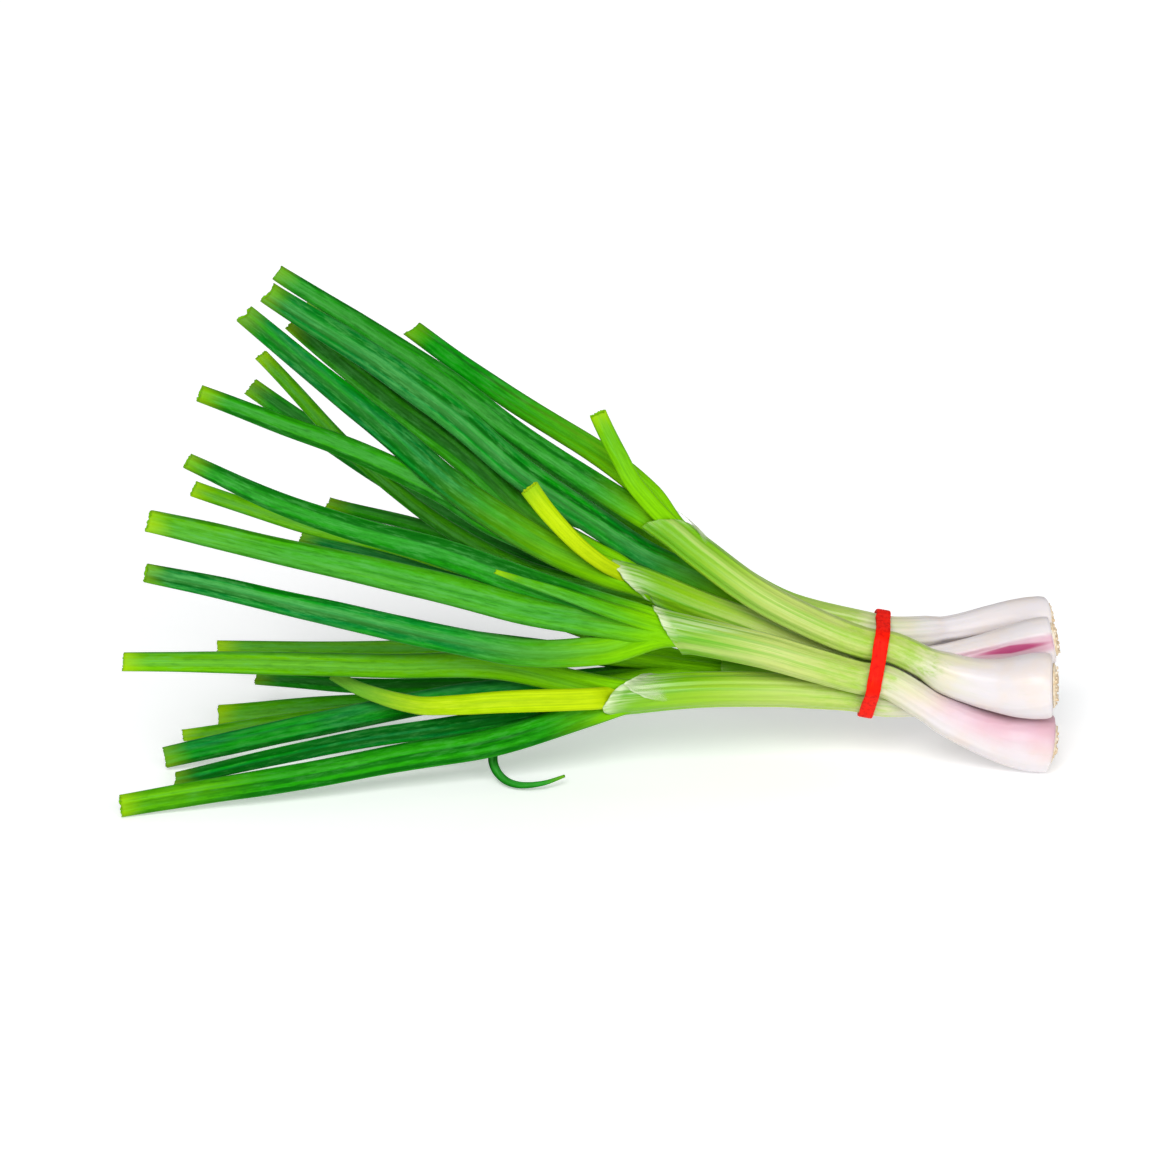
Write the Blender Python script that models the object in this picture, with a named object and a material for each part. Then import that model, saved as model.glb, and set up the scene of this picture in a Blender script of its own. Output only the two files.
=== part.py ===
"""A bunch of seven spring onions, tied at the neck and lying on its side.

Metres, +Z up. The bulbs point to +X and the cut leaves to -X, the front is -Y,
and the bunch rests on Z = 0 on three bulbs and the ends of its lowest leaves.
The origin is the middle of the floor that the bunch covers.

The bunch is laid out on a sheet that leans back by SHEET_LEAN, as it is seen from
the front. A point is given in millimetres by three numbers: how far along the
sheet it is, how far up the sheet, and how far back it lies.
"""

import math
import random
from typing import NamedTuple

import bmesh
import bpy
from mathutils import Vector
from mathutils.geometry import interpolate_bezier

MM = 0.001
SHEET_LEAN = math.radians(20.0)
TOWARDS_FRONT = Vector((0.0, -math.cos(SHEET_LEAN), math.sin(SHEET_LEAN)))
MIDDLE_ALONG = 0.54
MIDDLE_BACK = 2.01

# The tied neck of the bunch
NECK_ALONG = 91.4
NECK_UP = 31.8
NECK_SLOPE = math.radians(10.6)
NECK_PITCH = 11.0
NECK_RADIUS = 5.15
NECK_STRAIGHT = 5.0

# The rubber band
BAND_WIDTH = 5.0
BAND_THICKNESS = 1.3
BAND_CLEARANCE = 0.45
BAND_EDGE = 0.5
BAND_EDGE_SHARE = 0.7
BAND_ARC = math.radians(60.0)
BAND_ARC_STEPS = 4

# The bulbs: distance from the root end against share of the bulb's radius
BULB_PROFILE = (
    (0.0, 0.88),
    (0.8, 0.96),
    (2.5, 1.0),
    (7.0, 0.99),
    (12.0, 0.92),
    (18.0, 0.80),
    (26.0, 0.70),
    (36.0, 0.62),
)
BULB_TO_NECK = 6.0
STALK_SIDES = 12
STALK_RING_STEP = 9.0

# The roots
ROOT_GAP = 0.3
ROOT_PLATE_SHARE = 0.66
ROOT_PLATE_THICKNESS = 0.9
ROOT_PLATE_RIM = 0.8
ROOT_STUBS = 9
ROOT_STUB_SIDES = 5
ROOT_STUB_SPREAD = (0.25, 0.62, 0.62)
ROOT_STUB_JITTER = 0.2
ROOT_STUB_RADIUS = 0.65
ROOT_STUB_SINK = 0.8
ROOT_STUB_LENGTHS = (0.4, 1.2)

# The leaves
LEAF_RINGS = 11
LEAF_THICKNESS_SHARE = 0.46
LEAF_NARROWS = 2.2
LEAF_START = 3.0

# The core that joins the leaves of one plant: distance past the mouth against share of its radius
CORE_PROFILE = ((0.35, 0.86), (4.0, 0.84), (9.0, 0.62), (13.0, 0.25))

# Anything this close to the surface below is pressed flat on it
SETTLED = 0.65 * MM


class Leaf(NamedTuple):
    """A leaf: its route to the cut tip, its widths, its turn in degrees and how far it swells between."""

    route: tuple
    base_width: float
    tip_width: float
    turn: float = 0.0
    swell: float = 0.0


class Onion(NamedTuple):
    """One plant, from its root end through the tied neck to the mouth of its sheath."""

    neck_angle: float | None
    bulb_radius: float
    mouth_radius: float
    bulb_route: tuple
    sheath_route: tuple
    leaves: tuple


BULB_WHITE = (0.86, 0.80, 0.80, 1.0)
ROOT_TAN = (0.55, 0.38, 0.22, 1.0)
LEAF_GREEN = (0.02, 0.22, 0.05, 1.0)
LEAF_YELLOW = (0.50, 0.72, 0.02, 1.0)
BAND_RED = (0.85, 0.02, 0.0, 1.0)

# Front, top
ONION_1 = Onion(
    neck_angle=52.0,
    bulb_radius=10.8,
    mouth_radius=5.3,
    bulb_route=((148.6, 24.8, -12.0), (131.4, 24.8, -11.2), (116.0, 28.2, -9.4)),
    sheath_route=((72.0, 44.6, -8.5), (53.6, 54.2, -9.0), (35.4, 67.5, -8.5), (26.4, 74.7, -8.0)),
    leaves=(
        Leaf(
            ((-9.5, 96.0, -1.0), (-51.0, 126.0, 4.0), (-100.0, 157.0, 10.0)),
            base_width=8.6,
            tip_width=5.4,
            turn=10.0,
        ),
        Leaf(
            ((19.0, 86.0, -4.0), (1.0, 100.0, 3.0), (-28.0, 118.5, 14.0), (-58.0, 140.0, 26.0)),
            base_width=8.4,
            tip_width=6.2,
            turn=-15.0,
        ),
        Leaf(
            ((15.0, 88.0, -12.0), (9.0, 99.0, -13.0), (2.5, 112.0, -15.0)),
            base_width=6.0,
            tip_width=5.6,
        ),
    ),
)

# Middle of the bunch
ONION_2 = Onion(
    neck_angle=None,
    bulb_radius=8.0,
    mouth_radius=5.5,
    bulb_route=((149.0, 39.6, 6.2), (131.0, 36.2, 5.5), (114.0, 33.2, 3.4)),
    sheath_route=((67.4, 37.5, -1.0), (53.6, 43.3, -2.0), (35.4, 50.0, -2.5), (16.0, 57.7, -3.0)),
    leaves=(
        Leaf(
            ((-15.0, 75.5, 4.0), (-38.0, 95.5, 6.0), (-60.5, 113.5, 8.0), (-95.5, 141.0, 8.0)),
            base_width=10.6,
            tip_width=5.6,
            turn=10.0,
        ),
        Leaf(
            ((-9.5, 67.5, -7.0), (-35.0, 82.5, -10.0), (-60.5, 103.0, -14.0), (-110.0, 143.5, -22.0)),
            base_width=10.4,
            tip_width=6.8,
        ),
        Leaf(
            ((-28.5, 75.5, -7.0), (-48.0, 87.5, -10.0), (-67.0, 96.5, -16.0), (-124.0, 118.0, -30.0)),
            base_width=8.4,
            tip_width=5.8,
            turn=-8.0,
        ),
    ),
)

# Front, low
ONION_3 = Onion(
    neck_angle=-8.0,
    bulb_radius=9.7,
    mouth_radius=6.2,
    bulb_route=((148.3, 6.2, -7.4), (131.4, 8.4, -8.6), (114.0, 15.3, -10.8)),
    sheath_route=((72.0, 31.5, -13.5), (55.2, 36.3, -14.5), (24.2, 43.0, -15.0)),
    leaves=(
        Leaf(
            ((-12.5, 55.0, -20.0), (-43.5, 66.0, -26.0), (-92.5, 81.0, -40.0), (-127.5, 96.5, -50.0)),
            base_width=10.4,
            tip_width=5.2,
            turn=8.0,
        ),
        Leaf(
            ((3.5, 45.5, -19.0), (-28.5, 51.5, -24.0), (-92.5, 66.5, -34.0), (-140.5, 77.5, -42.0)),
            base_width=10.6,
            tip_width=7.4,
        ),
        Leaf(
            ((4.0, 36.0, -21.0), (-28.5, 36.5, -26.0), (-89.5, 50.0, -42.0), (-141.0, 61.0, -56.0)),
            base_width=9.6,
            tip_width=6.2,
            turn=-8.0,
        ),
        Leaf(
            ((8.0, 48.4, -22.5), (-9.4, 54.8, -26.5), (-22.0, 58.8, -29.5), (-30.5, 61.5, -31.5)),
            base_width=6.0,
            tip_width=2.2,
        ),
    ),
)

# Underneath
ONION_4 = Onion(
    neck_angle=-68.0,
    bulb_radius=9.2,
    mouth_radius=6.0,
    bulb_route=((143.0, 11.3, 11.8), (131.0, 13.8, 9.2), (112.0, 19.6, 3.2)),
    sheath_route=((72.0, 22.8, -6.0), (59.7, 23.5, -8.0), (35.4, 23.5, -11.0), (11.4, 21.5, -12.0)),
    leaves=(
        Leaf(
            ((-28.5, 30.5, -15.0), (-60.5, 31.0, -16.0), (-92.5, 32.0, -18.0), (-149.5, 32.5, -24.0)),
            base_width=8.8,
            tip_width=6.2,
            turn=12.0,
        ),
        Leaf(
            ((-9.5, 23.5, -8.0), (-44.5, 21.0, -7.0), (-89.5, 12.0, -7.0), (-137.0, 1.5, -8.0)),
            base_width=8.8,
            tip_width=7.2,
            turn=15.0,
        ),
        Leaf(
            ((-28.5, 14.5, -15.0), (-57.5, 10.0, -17.0), (-89.5, 4.5, -20.0), (-134.0, -5.5, -27.0)),
            base_width=7.0,
            tip_width=4.8,
            turn=10.0,
        ),
        Leaf(
            ((-28.5, 7.5, -20.0), (-60.5, 1.5, -28.0), (-89.5, -3.5, -36.0), (-150.0, -13.5, -49.2)),
            base_width=9.6,
            tip_width=7.2,
        ),
        Leaf(
            (
                (-20.0, 15.5, -8.0),
                (-28.0, 8.5, -10.5),
                (-30.8, 2.0, -14.5),
                (-29.0, -3.6, -20.0),
                (-23.8, -6.8, -25.5),
                (-15.8, -6.6, -26.5),
                (-7.8, -4.1, -21.5),
            ),
            base_width=4.0,
            tip_width=1.2,
            turn=30.0,
        ),
    ),
)

# Back, top
ONION_5 = Onion(
    neck_angle=112.0,
    bulb_radius=7.0,
    mouth_radius=5.0,
    bulb_route=((147.4, 46.8, 22.5), (131.0, 45.4, 18.0), (116.0, 42.8, 12.5)),
    sheath_route=((66.0, 49.0, 8.0), (53.6, 54.8, 11.5), (36.0, 66.5, 14.0)),
    leaves=(
        Leaf(
            ((-10.0, 92.0, 24.0), (-50.0, 121.0, 38.0), (-92.0, 147.0, 52.0)),
            base_width=8.4,
            tip_width=6.5,
            turn=25.0,
        ),
        Leaf(
            ((10.0, 74.0, 22.0), (-20.0, 84.0, 36.0), (-42.0, 95.0, 48.0)),
            base_width=7.6,
            tip_width=5.4,
            turn=-30.0,
        ),
    ),
)

# Back, middle
ONION_6 = Onion(
    neck_angle=172.0,
    bulb_radius=8.3,
    mouth_radius=5.2,
    bulb_route=((143.0, 30.5, 19.2), (131.0, 31.0, 17.5), (112.0, 33.6, 15.0)),
    sheath_route=((72.0, 39.0, 14.5), (52.0, 45.5, 18.5), (32.0, 52.5, 21.5)),
    leaves=(
        Leaf(
            ((-16.0, 60.5, 22.0), (-42.0, 73.0, 22.0), (-70.0, 94.0, 20.0), (-105.5, 131.0, 18.0)),
            base_width=6.0,
            tip_width=4.8,
            turn=20.0,
        ),
        Leaf(
            ((-16.0, 65.0, 28.0), (-51.0, 82.5, 40.0), (-80.0, 100.5, 50.0), (-110.0, 121.5, 60.0)),
            base_width=6.5,
            tip_width=6.6,
            turn=-20.0,
        ),
        Leaf(
            ((-22.0, 61.5, 30.0), (-50.0, 74.5, 42.0), (-85.0, 83.5, 54.0)),
            base_width=5.5,
            tip_width=5.0,
            turn=-35.0,
        ),
        Leaf(
            ((-22.0, 58.5, 22.0), (-60.5, 69.0, 14.0), (-94.0, 77.0, 8.0), (-127.0, 88.0, 0.0)),
            base_width=5.6,
            tip_width=5.4,
            turn=15.0,
        ),
        Leaf(
            ((-28.5, 51.5, 22.0), (-70.0, 60.5, 28.0), (-125.0, 73.5, 38.0)),
            base_width=6.5,
            tip_width=6.2,
            turn=-10.0,
        ),
    ),
)

# Back, low
ONION_7 = Onion(
    neck_angle=232.0,
    bulb_radius=8.7,
    mouth_radius=5.4,
    bulb_route=((140.0, 17.2, 29.8), (128.0, 18.6, 26.2), (110.0, 23.0, 16.5)),
    sheath_route=((72.0, 26.6, 11.0), (52.0, 28.5, 15.0), (30.0, 31.0, 18.5)),
    leaves=(
        Leaf(
            ((-9.5, 45.5, 27.0), (-38.0, 58.0, 37.0), (-67.0, 66.5, 46.0), (-93.5, 73.5, 54.0)),
            base_width=6.0,
            tip_width=6.0,
            turn=-25.0,
        ),
        Leaf(
            ((-28.5, 36.5, 18.0), (-60.5, 37.0, 18.0), (-92.5, 36.5, 20.0), (-120.5, 37.0, 22.0)),
            base_width=5.4,
            tip_width=4.6,
            turn=10.0,
        ),
        Leaf(
            ((-28.5, 25.5, 24.0), (-60.5, 24.0, 32.0), (-108.5, 27.0, 48.0)),
            base_width=6.0,
            tip_width=4.8,
            turn=-20.0,
        ),
        Leaf(
            ((-28.5, 22.0, 16.0), (-60.5, 19.5, 20.0), (-89.5, 18.0, 27.0), (-120.5, 15.0, 35.0)),
            base_width=6.2,
            tip_width=6.4,
        ),
        Leaf(
            ((3.5, 25.0, 12.0), (-44.5, 20.5, 6.0), (-76.5, 16.5, 6.0), (-131.5, 8.5, 10.0)),
            base_width=5.0,
            tip_width=4.2,
            turn=25.0,
        ),
        Leaf(
            ((-20.0, 37.0, 26.0), (-70.0, 45.0, 36.0), (-120.0, 56.0, 50.0)),
            base_width=6.5,
            tip_width=6.0,
            turn=-30.0,
        ),
    ),
)

ONIONS = (ONION_1, ONION_2, ONION_3, ONION_4, ONION_5, ONION_6, ONION_7)

# Leaves that part from their sheath on their own, and the two pale old ones
SINGLE_LEAVES = {
    "onion_2_outer_leaf": (
        Leaf(
            (
                (50.0, 51.6, 5.0),
                (35.0, 59.3, 4.6),
                (19.5, 66.2, 3.8),
                (3.5, 76.2, 1.4),
                (-22.0, 93.6, -3.2),
                (-51.0, 117.0, -4.0),
                (-103.0, 150.5, -9.0),
            ),
            base_width=7.4,
            tip_width=7.6,
            turn=5.0,
            swell=2.8,
        ),
        LEAF_GREEN,
    ),
    "onion_2_yellow_leaf": (
        Leaf(
            ((4.0, 64.4, -10.2), (-4.5, 71.0, -13.0), (-12.5, 79.5, -13.5), (-19.5, 88.5, -14.0)),
            base_width=4.6,
            tip_width=6.6,
            turn=-5.0,
        ),
        LEAF_YELLOW,
    ),
    "onion_4_yellow_leaf": (
        Leaf(
            (
                (0.0, 20.5, -20.0),
                (-28.5, 19.5, -22.0),
                (-44.5, 18.5, -21.0),
                (-56.0, 18.5, -18.5),
                (-72.0, 23.0, -11.0),
                (-83.0, 28.5, -7.0),
            ),
            base_width=6.8,
            tip_width=3.6,
        ),
        LEAF_YELLOW,
    ),
}


def at(along, up, back):
    """A point in metres from its place on the leaning sheet."""
    rise = (up - back * math.sin(SHEET_LEAN)) / math.cos(SHEET_LEAN)
    return Vector((along - MIDDLE_ALONG, back - MIDDLE_BACK, rise)) * MM


def neck_axis():
    """The direction of the tied neck, from the bulbs to the leaves."""
    return Vector((-math.cos(NECK_SLOPE), 0.0, math.sin(NECK_SLOPE)))


def neck_point(angle):
    """The middle of a neck in the band, by its angle round the bunch, with 0 at the front."""
    centre = at(NECK_ALONG, NECK_UP, 0.0)
    if angle is None:
        return centre
    turn = math.radians(angle)
    across = Vector((math.sin(NECK_SLOPE), 0.0, math.cos(NECK_SLOPE)))
    return centre + (across * math.sin(turn) - Vector((0, 1, 0)) * math.cos(turn)) * NECK_PITCH * MM


def smooth_curve(points, steps=12):
    """A dense smooth curve through the points."""
    curve = []
    last = len(points) - 1
    for i in range(last):
        before = points[max(i - 1, 0)]
        start = points[i]
        end = points[i + 1]
        after = points[min(i + 2, last)]
        span = (end - start).length
        leave = (end - before).normalized() * span / 3
        arrive = (after - start).normalized() * span / 3
        piece = interpolate_bezier(start, start + leave, end - arrive, end, steps + 1)
        curve.extend(piece[:-1] if i < last - 1 else piece)
    return curve


def read_curve(curve, distances):
    """Points and directions at the given distances along a dense curve."""
    stations = []
    walked = 0.0
    i = 0
    for distance in distances:
        while i < len(curve) - 2 and walked + (curve[i + 1] - curve[i]).length < distance:
            walked += (curve[i + 1] - curve[i]).length
            i += 1
        step = curve[i + 1] - curve[i]
        share = min((distance - walked) / step.length, 1.0)
        stations.append((curve[i] + step * share, step.normalized()))
    return stations


def curve_length(curve):
    """The length of a dense curve."""
    return sum((b - a).length for a, b in zip(curve, curve[1:]))


def across_axes(direction, turn=0.0):
    """Two unit axes across a direction: the first lies in the sheet, before any turn."""
    side = direction.cross(TOWARDS_FRONT).normalized()
    front = side.cross(direction)
    angle = math.radians(turn)
    return (
        side * math.cos(angle) + front * math.sin(angle),
        front * math.cos(angle) - side * math.sin(angle),
    )


def skin(name, rings, loop=False):
    """A closed mesh object over rings of points, with flat ends unless the rings form a loop."""
    bm = bmesh.new()
    rows = [[bm.verts.new(point) for point in ring] for ring in rings]
    sides = len(rows[0])
    pairs = list(zip(rows, rows[1:]))
    if loop:
        pairs.append((rows[-1], rows[0]))
    for a, b in pairs:
        for k in range(sides):
            bm.faces.new((a[k], a[(k + 1) % sides], b[(k + 1) % sides], b[k]))
    if not loop:
        bm.faces.new(rows[0])
        bm.faces.new(rows[-1])
    bmesh.ops.recalc_face_normals(bm, faces=bm.faces)
    mesh = bpy.data.meshes.new(name)
    bm.to_mesh(mesh)
    bm.free()
    obj = bpy.data.objects.new(name, mesh)
    bpy.context.scene.collection.objects.link(obj)
    return obj


def circle_ring(centre, direction, radius, sides):
    """A round cross section with two points level at its lowest."""
    u = direction.cross(Vector((0, 0, 1))).normalized()
    v = u.cross(direction)
    angles = [2 * math.pi * (k + 0.5) / sides for k in range(sides)]
    return [centre + (u * math.cos(a) + v * math.sin(a)) * radius for a in angles]


def leaf_ring(centre, direction, width, turn):
    """One cross section of a leaf: a flattened tube with a channel along its front."""
    u, v = across_axes(direction, turn)
    thickness = width * LEAF_THICKNESS_SHARE
    outline = (
        (0.50, 0.04),
        (0.36, 0.50),
        (0.0, 0.28),
        (-0.36, 0.50),
        (-0.50, 0.04),
        (-0.36, -0.38),
        (0.0, -0.50),
        (0.36, -0.38),
    )
    return [centre + u * x * width + v * y * thickness for x, y in outline]


def leaf_solid(name, leaf, start=None):
    """One leaf as a tapering flattened tube from its start to its cut tip."""
    points = [at(*place) for place in leaf.route]
    if start is not None:
        points.insert(0, start)
    curve = smooth_curve(points)
    length = curve_length(curve)
    shares = [k / (LEAF_RINGS - 1) for k in range(LEAF_RINGS)]
    rings = []
    stations = read_curve(curve, [share * length for share in shares])
    for share, (centre, direction) in zip(shares, stations):
        width = leaf.base_width + (leaf.tip_width - leaf.base_width) * share**LEAF_NARROWS
        width += leaf.swell * math.sin(math.pi * share)
        rings.append(leaf_ring(centre, direction, width * MM, leaf.turn))
    return skin(name, rings)


def stalk_curve(onion):
    """The middle line of a plant from its root end to the mouth of its sheath."""
    neck = neck_point(onion.neck_angle)
    straight = neck_axis() * NECK_STRAIGHT * MM
    bulb = [at(*place) for place in onion.bulb_route]
    sheath = [at(*place) for place in onion.sheath_route]
    return smooth_curve(bulb + [neck - straight, neck + straight] + sheath)


def stalk_radius(onion, distance, to_neck, to_mouth):
    """The radius in millimetres at a distance from the root end."""
    profile = [(d, share * onion.bulb_radius) for d, share in BULB_PROFILE]
    profile += [
        (BULB_PROFILE[-1][0] + BULB_TO_NECK, NECK_RADIUS),
        (to_neck - NECK_STRAIGHT, NECK_RADIUS),
        (to_neck + NECK_STRAIGHT, NECK_RADIUS),
        (to_mouth, onion.mouth_radius),
    ]
    for (d0, r0), (d1, r1) in zip(profile, profile[1:]):
        if distance <= d1:
            return r0 + (r1 - r0) * (distance - d0) / (d1 - d0)
    return onion.mouth_radius


def stalk_solid(name, onion):
    """The bulb, the white neck and the sheath of one plant."""
    curve = stalk_curve(onion)
    total = curve_length(curve) / MM
    neck = neck_point(onion.neck_angle)
    nearest = min(range(len(curve)), key=lambda i: (curve[i] - neck).length)
    to_neck = curve_length(curve[: nearest + 1]) / MM
    distances = [distance for distance, _ in BULB_PROFILE]
    steps = round((total - distances[-1]) / STALK_RING_STEP)
    last = distances[-1]
    distances += [last + (total - last) * k / steps for k in range(1, steps + 1)]
    rings = [
        circle_ring(centre, direction, stalk_radius(onion, distance, to_neck, total) * MM, STALK_SIDES)
        for distance, (centre, direction) in zip(distances, read_curve(curve, [d * MM for d in distances]))
    ]
    return skin(name, rings)


def fuse(name, pieces):
    """One object from the union of the pieces, which are then removed."""
    rest = bpy.data.collections.new(name + "_pieces")
    bpy.context.scene.collection.children.link(rest)
    base = pieces[0]
    for piece in pieces[1:]:
        bpy.context.scene.collection.objects.unlink(piece)
        rest.objects.link(piece)
    union = base.modifiers.new("union", "BOOLEAN")
    union.operation = "UNION"
    union.operand_type = "COLLECTION"
    union.collection = rest
    union.solver = "EXACT"
    bpy.context.view_layer.update()
    graph = bpy.context.evaluated_depsgraph_get()
    mesh = bpy.data.meshes.new_from_object(base.evaluated_get(graph))
    for piece in pieces:
        bpy.data.objects.remove(piece)
    bpy.data.collections.remove(rest)
    obj = bpy.data.objects.new(name, mesh)
    bpy.context.scene.collection.objects.link(obj)
    return obj


def leaves_solid(name, onion):
    """The green leaves of one plant, grown from one short core in the mouth of its sheath."""
    curve = stalk_curve(onion)
    mouth = curve[-1]
    out = (curve[-1] - curve[-2]).normalized()
    rings = [
        circle_ring(mouth + out * d * MM, out, share * onion.mouth_radius * MM, STALK_SIDES)
        for d, share in CORE_PROFILE
    ]
    pieces = [skin("core", rings)]
    start = mouth + out * LEAF_START * MM
    pieces += [leaf_solid("leaf", leaf, start) for leaf in onion.leaves]
    return fuse(name, pieces)


def roots_solid(name, onion, seed):
    """The root plate with its trimmed roots, just off the flat end of the bulb."""
    curve = stalk_curve(onion)
    out = (curve[0] - curve[1]).normalized()
    radius = onion.bulb_radius * ROOT_PLATE_SHARE * MM
    foot = curve[0] + out * ROOT_GAP * MM
    thick = ROOT_PLATE_THICKNESS * MM
    rings = [
        circle_ring(foot, out, radius, STALK_SIDES),
        circle_ring(foot + out * thick * 0.5, out, radius, STALK_SIDES),
        circle_ring(foot + out * thick, out, radius * ROOT_PLATE_RIM, STALK_SIDES),
    ]
    pieces = [skin("plate", rings)]
    u, v = across_axes(out)
    rng = random.Random(seed)
    for k in range(ROOT_STUBS):
        angle = 2 * math.pi * k / ROOT_STUBS + rng.uniform(-ROOT_STUB_JITTER, ROOT_STUB_JITTER)
        reach = radius * ROOT_STUB_SPREAD[k % len(ROOT_STUB_SPREAD)]
        root = foot + (u * math.cos(angle) + v * math.sin(angle)) * reach
        start = root + out * (thick - ROOT_STUB_SINK * MM)
        end = root + out * (thick + rng.uniform(*ROOT_STUB_LENGTHS) * MM)
        stub = [circle_ring(p, out, ROOT_STUB_RADIUS * MM, ROOT_STUB_SIDES) for p in (start, end)]
        pieces.append(skin("stub", stub))
    return fuse(name, pieces)


def band_solid(name):
    """The rubber band: a flat ring drawn tight round the outer necks."""
    axis = neck_axis()
    across = Vector((math.sin(NECK_SLOPE), 0.0, math.cos(NECK_SLOPE)))
    front = Vector((0, -1, 0))
    half = BAND_WIDTH / 2
    profile = (
        (-half, 0.0),
        (-half, BAND_EDGE_SHARE * BAND_THICKNESS),
        (-half + BAND_EDGE, BAND_THICKNESS),
        (half - BAND_EDGE, BAND_THICKNESS),
        (half, BAND_EDGE_SHARE * BAND_THICKNESS),
        (half, 0.0),
    )
    angles = sorted(o.neck_angle for o in ONIONS if o.neck_angle is not None)
    rings = []
    for angle in angles:
        for k in range(BAND_ARC_STEPS):
            turn = math.radians(angle) + BAND_ARC * ((k + 0.5) / BAND_ARC_STEPS - 0.5)
            out = front * math.cos(turn) + across * math.sin(turn)
            inner = neck_point(angle) + out * (NECK_RADIUS + BAND_CLEARANCE) * MM
            rings.append([inner + (axis * a + out * r) * MM for a, r in profile])
    return skin(name, rings, loop=True)


def settle(obj):
    """Presses flat what would reach the surface below."""
    for vertex in obj.data.vertices:
        if vertex.co.z < SETTLED:
            vertex.co.z = 0.0


def finish(obj, colour, roughness):
    """Gives an object its plain material and smooth shading."""
    material = bpy.data.materials.new(obj.name)
    material.use_nodes = True
    shader = material.node_tree.nodes["Principled BSDF"]
    shader.inputs["Base Color"].default_value = colour
    shader.inputs["Roughness"].default_value = roughness
    material.diffuse_color = colour
    obj.data.materials.clear()
    obj.data.materials.append(material)
    obj.data.shade_smooth()
    obj.data.set_sharp_from_angle(angle=math.radians(40))


def main():
    """Builds every node of the bunch."""
    for obj in list(bpy.data.objects):
        bpy.data.objects.remove(obj)
    for number, onion in enumerate(ONIONS, start=1):
        stalk = stalk_solid(f"onion_{number}_bulb", onion)
        settle(stalk)
        finish(stalk, BULB_WHITE, 0.35)
        leaves = leaves_solid(f"onion_{number}_leaves", onion)
        settle(leaves)
        finish(leaves, LEAF_GREEN, 0.4)
        roots = roots_solid(f"onion_{number}_roots", onion, seed=number)
        finish(roots, ROOT_TAN, 0.9)
    for name, (leaf, colour) in SINGLE_LEAVES.items():
        finish(leaf_solid(name, leaf), colour, 0.4)
    finish(band_solid("rubber_band"), BAND_RED, 0.45)


main()
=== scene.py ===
"""The looks of a bunch of seven spring onions, tied at the neck and lying on its side.

Metres, +Z up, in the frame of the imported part: the bulbs point to +X, the cut leaves
to -X and the front is -Y. The bunch is laid out on a sheet that leans back as the
camera sees it, with the routes of the part's source drawn again in finer steps.
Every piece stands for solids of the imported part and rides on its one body.
"""

import logging
import math
from dataclasses import dataclass, replace
from enum import Enum
from typing import Mapping, Sequence

import bpy
import numpy as np
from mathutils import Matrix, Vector, noise
from mathutils.geometry import interpolate_bezier

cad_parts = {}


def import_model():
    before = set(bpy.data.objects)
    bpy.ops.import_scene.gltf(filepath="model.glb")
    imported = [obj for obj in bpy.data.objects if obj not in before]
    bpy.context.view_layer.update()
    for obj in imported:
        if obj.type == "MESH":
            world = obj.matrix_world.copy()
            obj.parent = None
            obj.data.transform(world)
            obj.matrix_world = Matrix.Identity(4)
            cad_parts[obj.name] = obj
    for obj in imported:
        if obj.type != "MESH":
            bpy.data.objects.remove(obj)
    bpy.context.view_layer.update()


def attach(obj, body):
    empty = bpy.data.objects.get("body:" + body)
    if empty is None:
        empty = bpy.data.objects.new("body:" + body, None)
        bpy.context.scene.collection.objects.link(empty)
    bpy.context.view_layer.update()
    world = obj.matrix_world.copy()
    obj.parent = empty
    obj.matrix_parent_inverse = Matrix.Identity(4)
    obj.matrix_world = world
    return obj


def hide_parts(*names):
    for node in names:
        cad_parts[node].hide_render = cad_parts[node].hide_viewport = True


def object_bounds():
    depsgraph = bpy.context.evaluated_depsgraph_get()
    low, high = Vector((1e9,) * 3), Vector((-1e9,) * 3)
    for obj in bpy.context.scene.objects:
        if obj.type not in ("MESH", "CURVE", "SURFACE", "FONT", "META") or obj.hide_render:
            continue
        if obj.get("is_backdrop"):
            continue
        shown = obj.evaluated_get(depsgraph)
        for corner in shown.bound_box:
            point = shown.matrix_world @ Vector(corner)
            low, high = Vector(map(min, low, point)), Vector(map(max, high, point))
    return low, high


LOG = logging.getLogger("spring_onions")

MM = 0.001
# How much of a ring is left where a tube is drawn shut
NEARLY_SHUT = 0.02
BODY = "root"

Place = tuple[float, float, float]
Colour = tuple[float, float, float]


class Slot(Enum):
    """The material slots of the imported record."""

    STALK = "bulb_and_sheath"
    GREEN_LEAF = "green_leaf"
    YELLOW_LEAF = "yellow_leaf"
    ROOTS = "roots"
    BAND = "rubber_band"


class Cut(Enum):
    """How the end of a leaf was cut: its slant and the depth of its notch, in widths."""

    SQUARE = (0.05, 0.0)
    SLANTED = (0.35, 0.06)
    NOTCHED = (0.10, 0.14)


def srgb(red: int, green: int, blue: int) -> Colour:
    """A colour in linear light.

    Args:
        red: Red as a screen shows it, 0 to 255.
        green: Green in the same way.
        blue: Blue in the same way.

    Returns:
        The three linear values.
    """
    screen = (red / 255.0, green / 255.0, blue / 255.0)
    return tuple(c / 12.92 if c <= 0.04045 else ((c + 0.055) / 1.055) ** 2.4 for c in screen)


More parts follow.
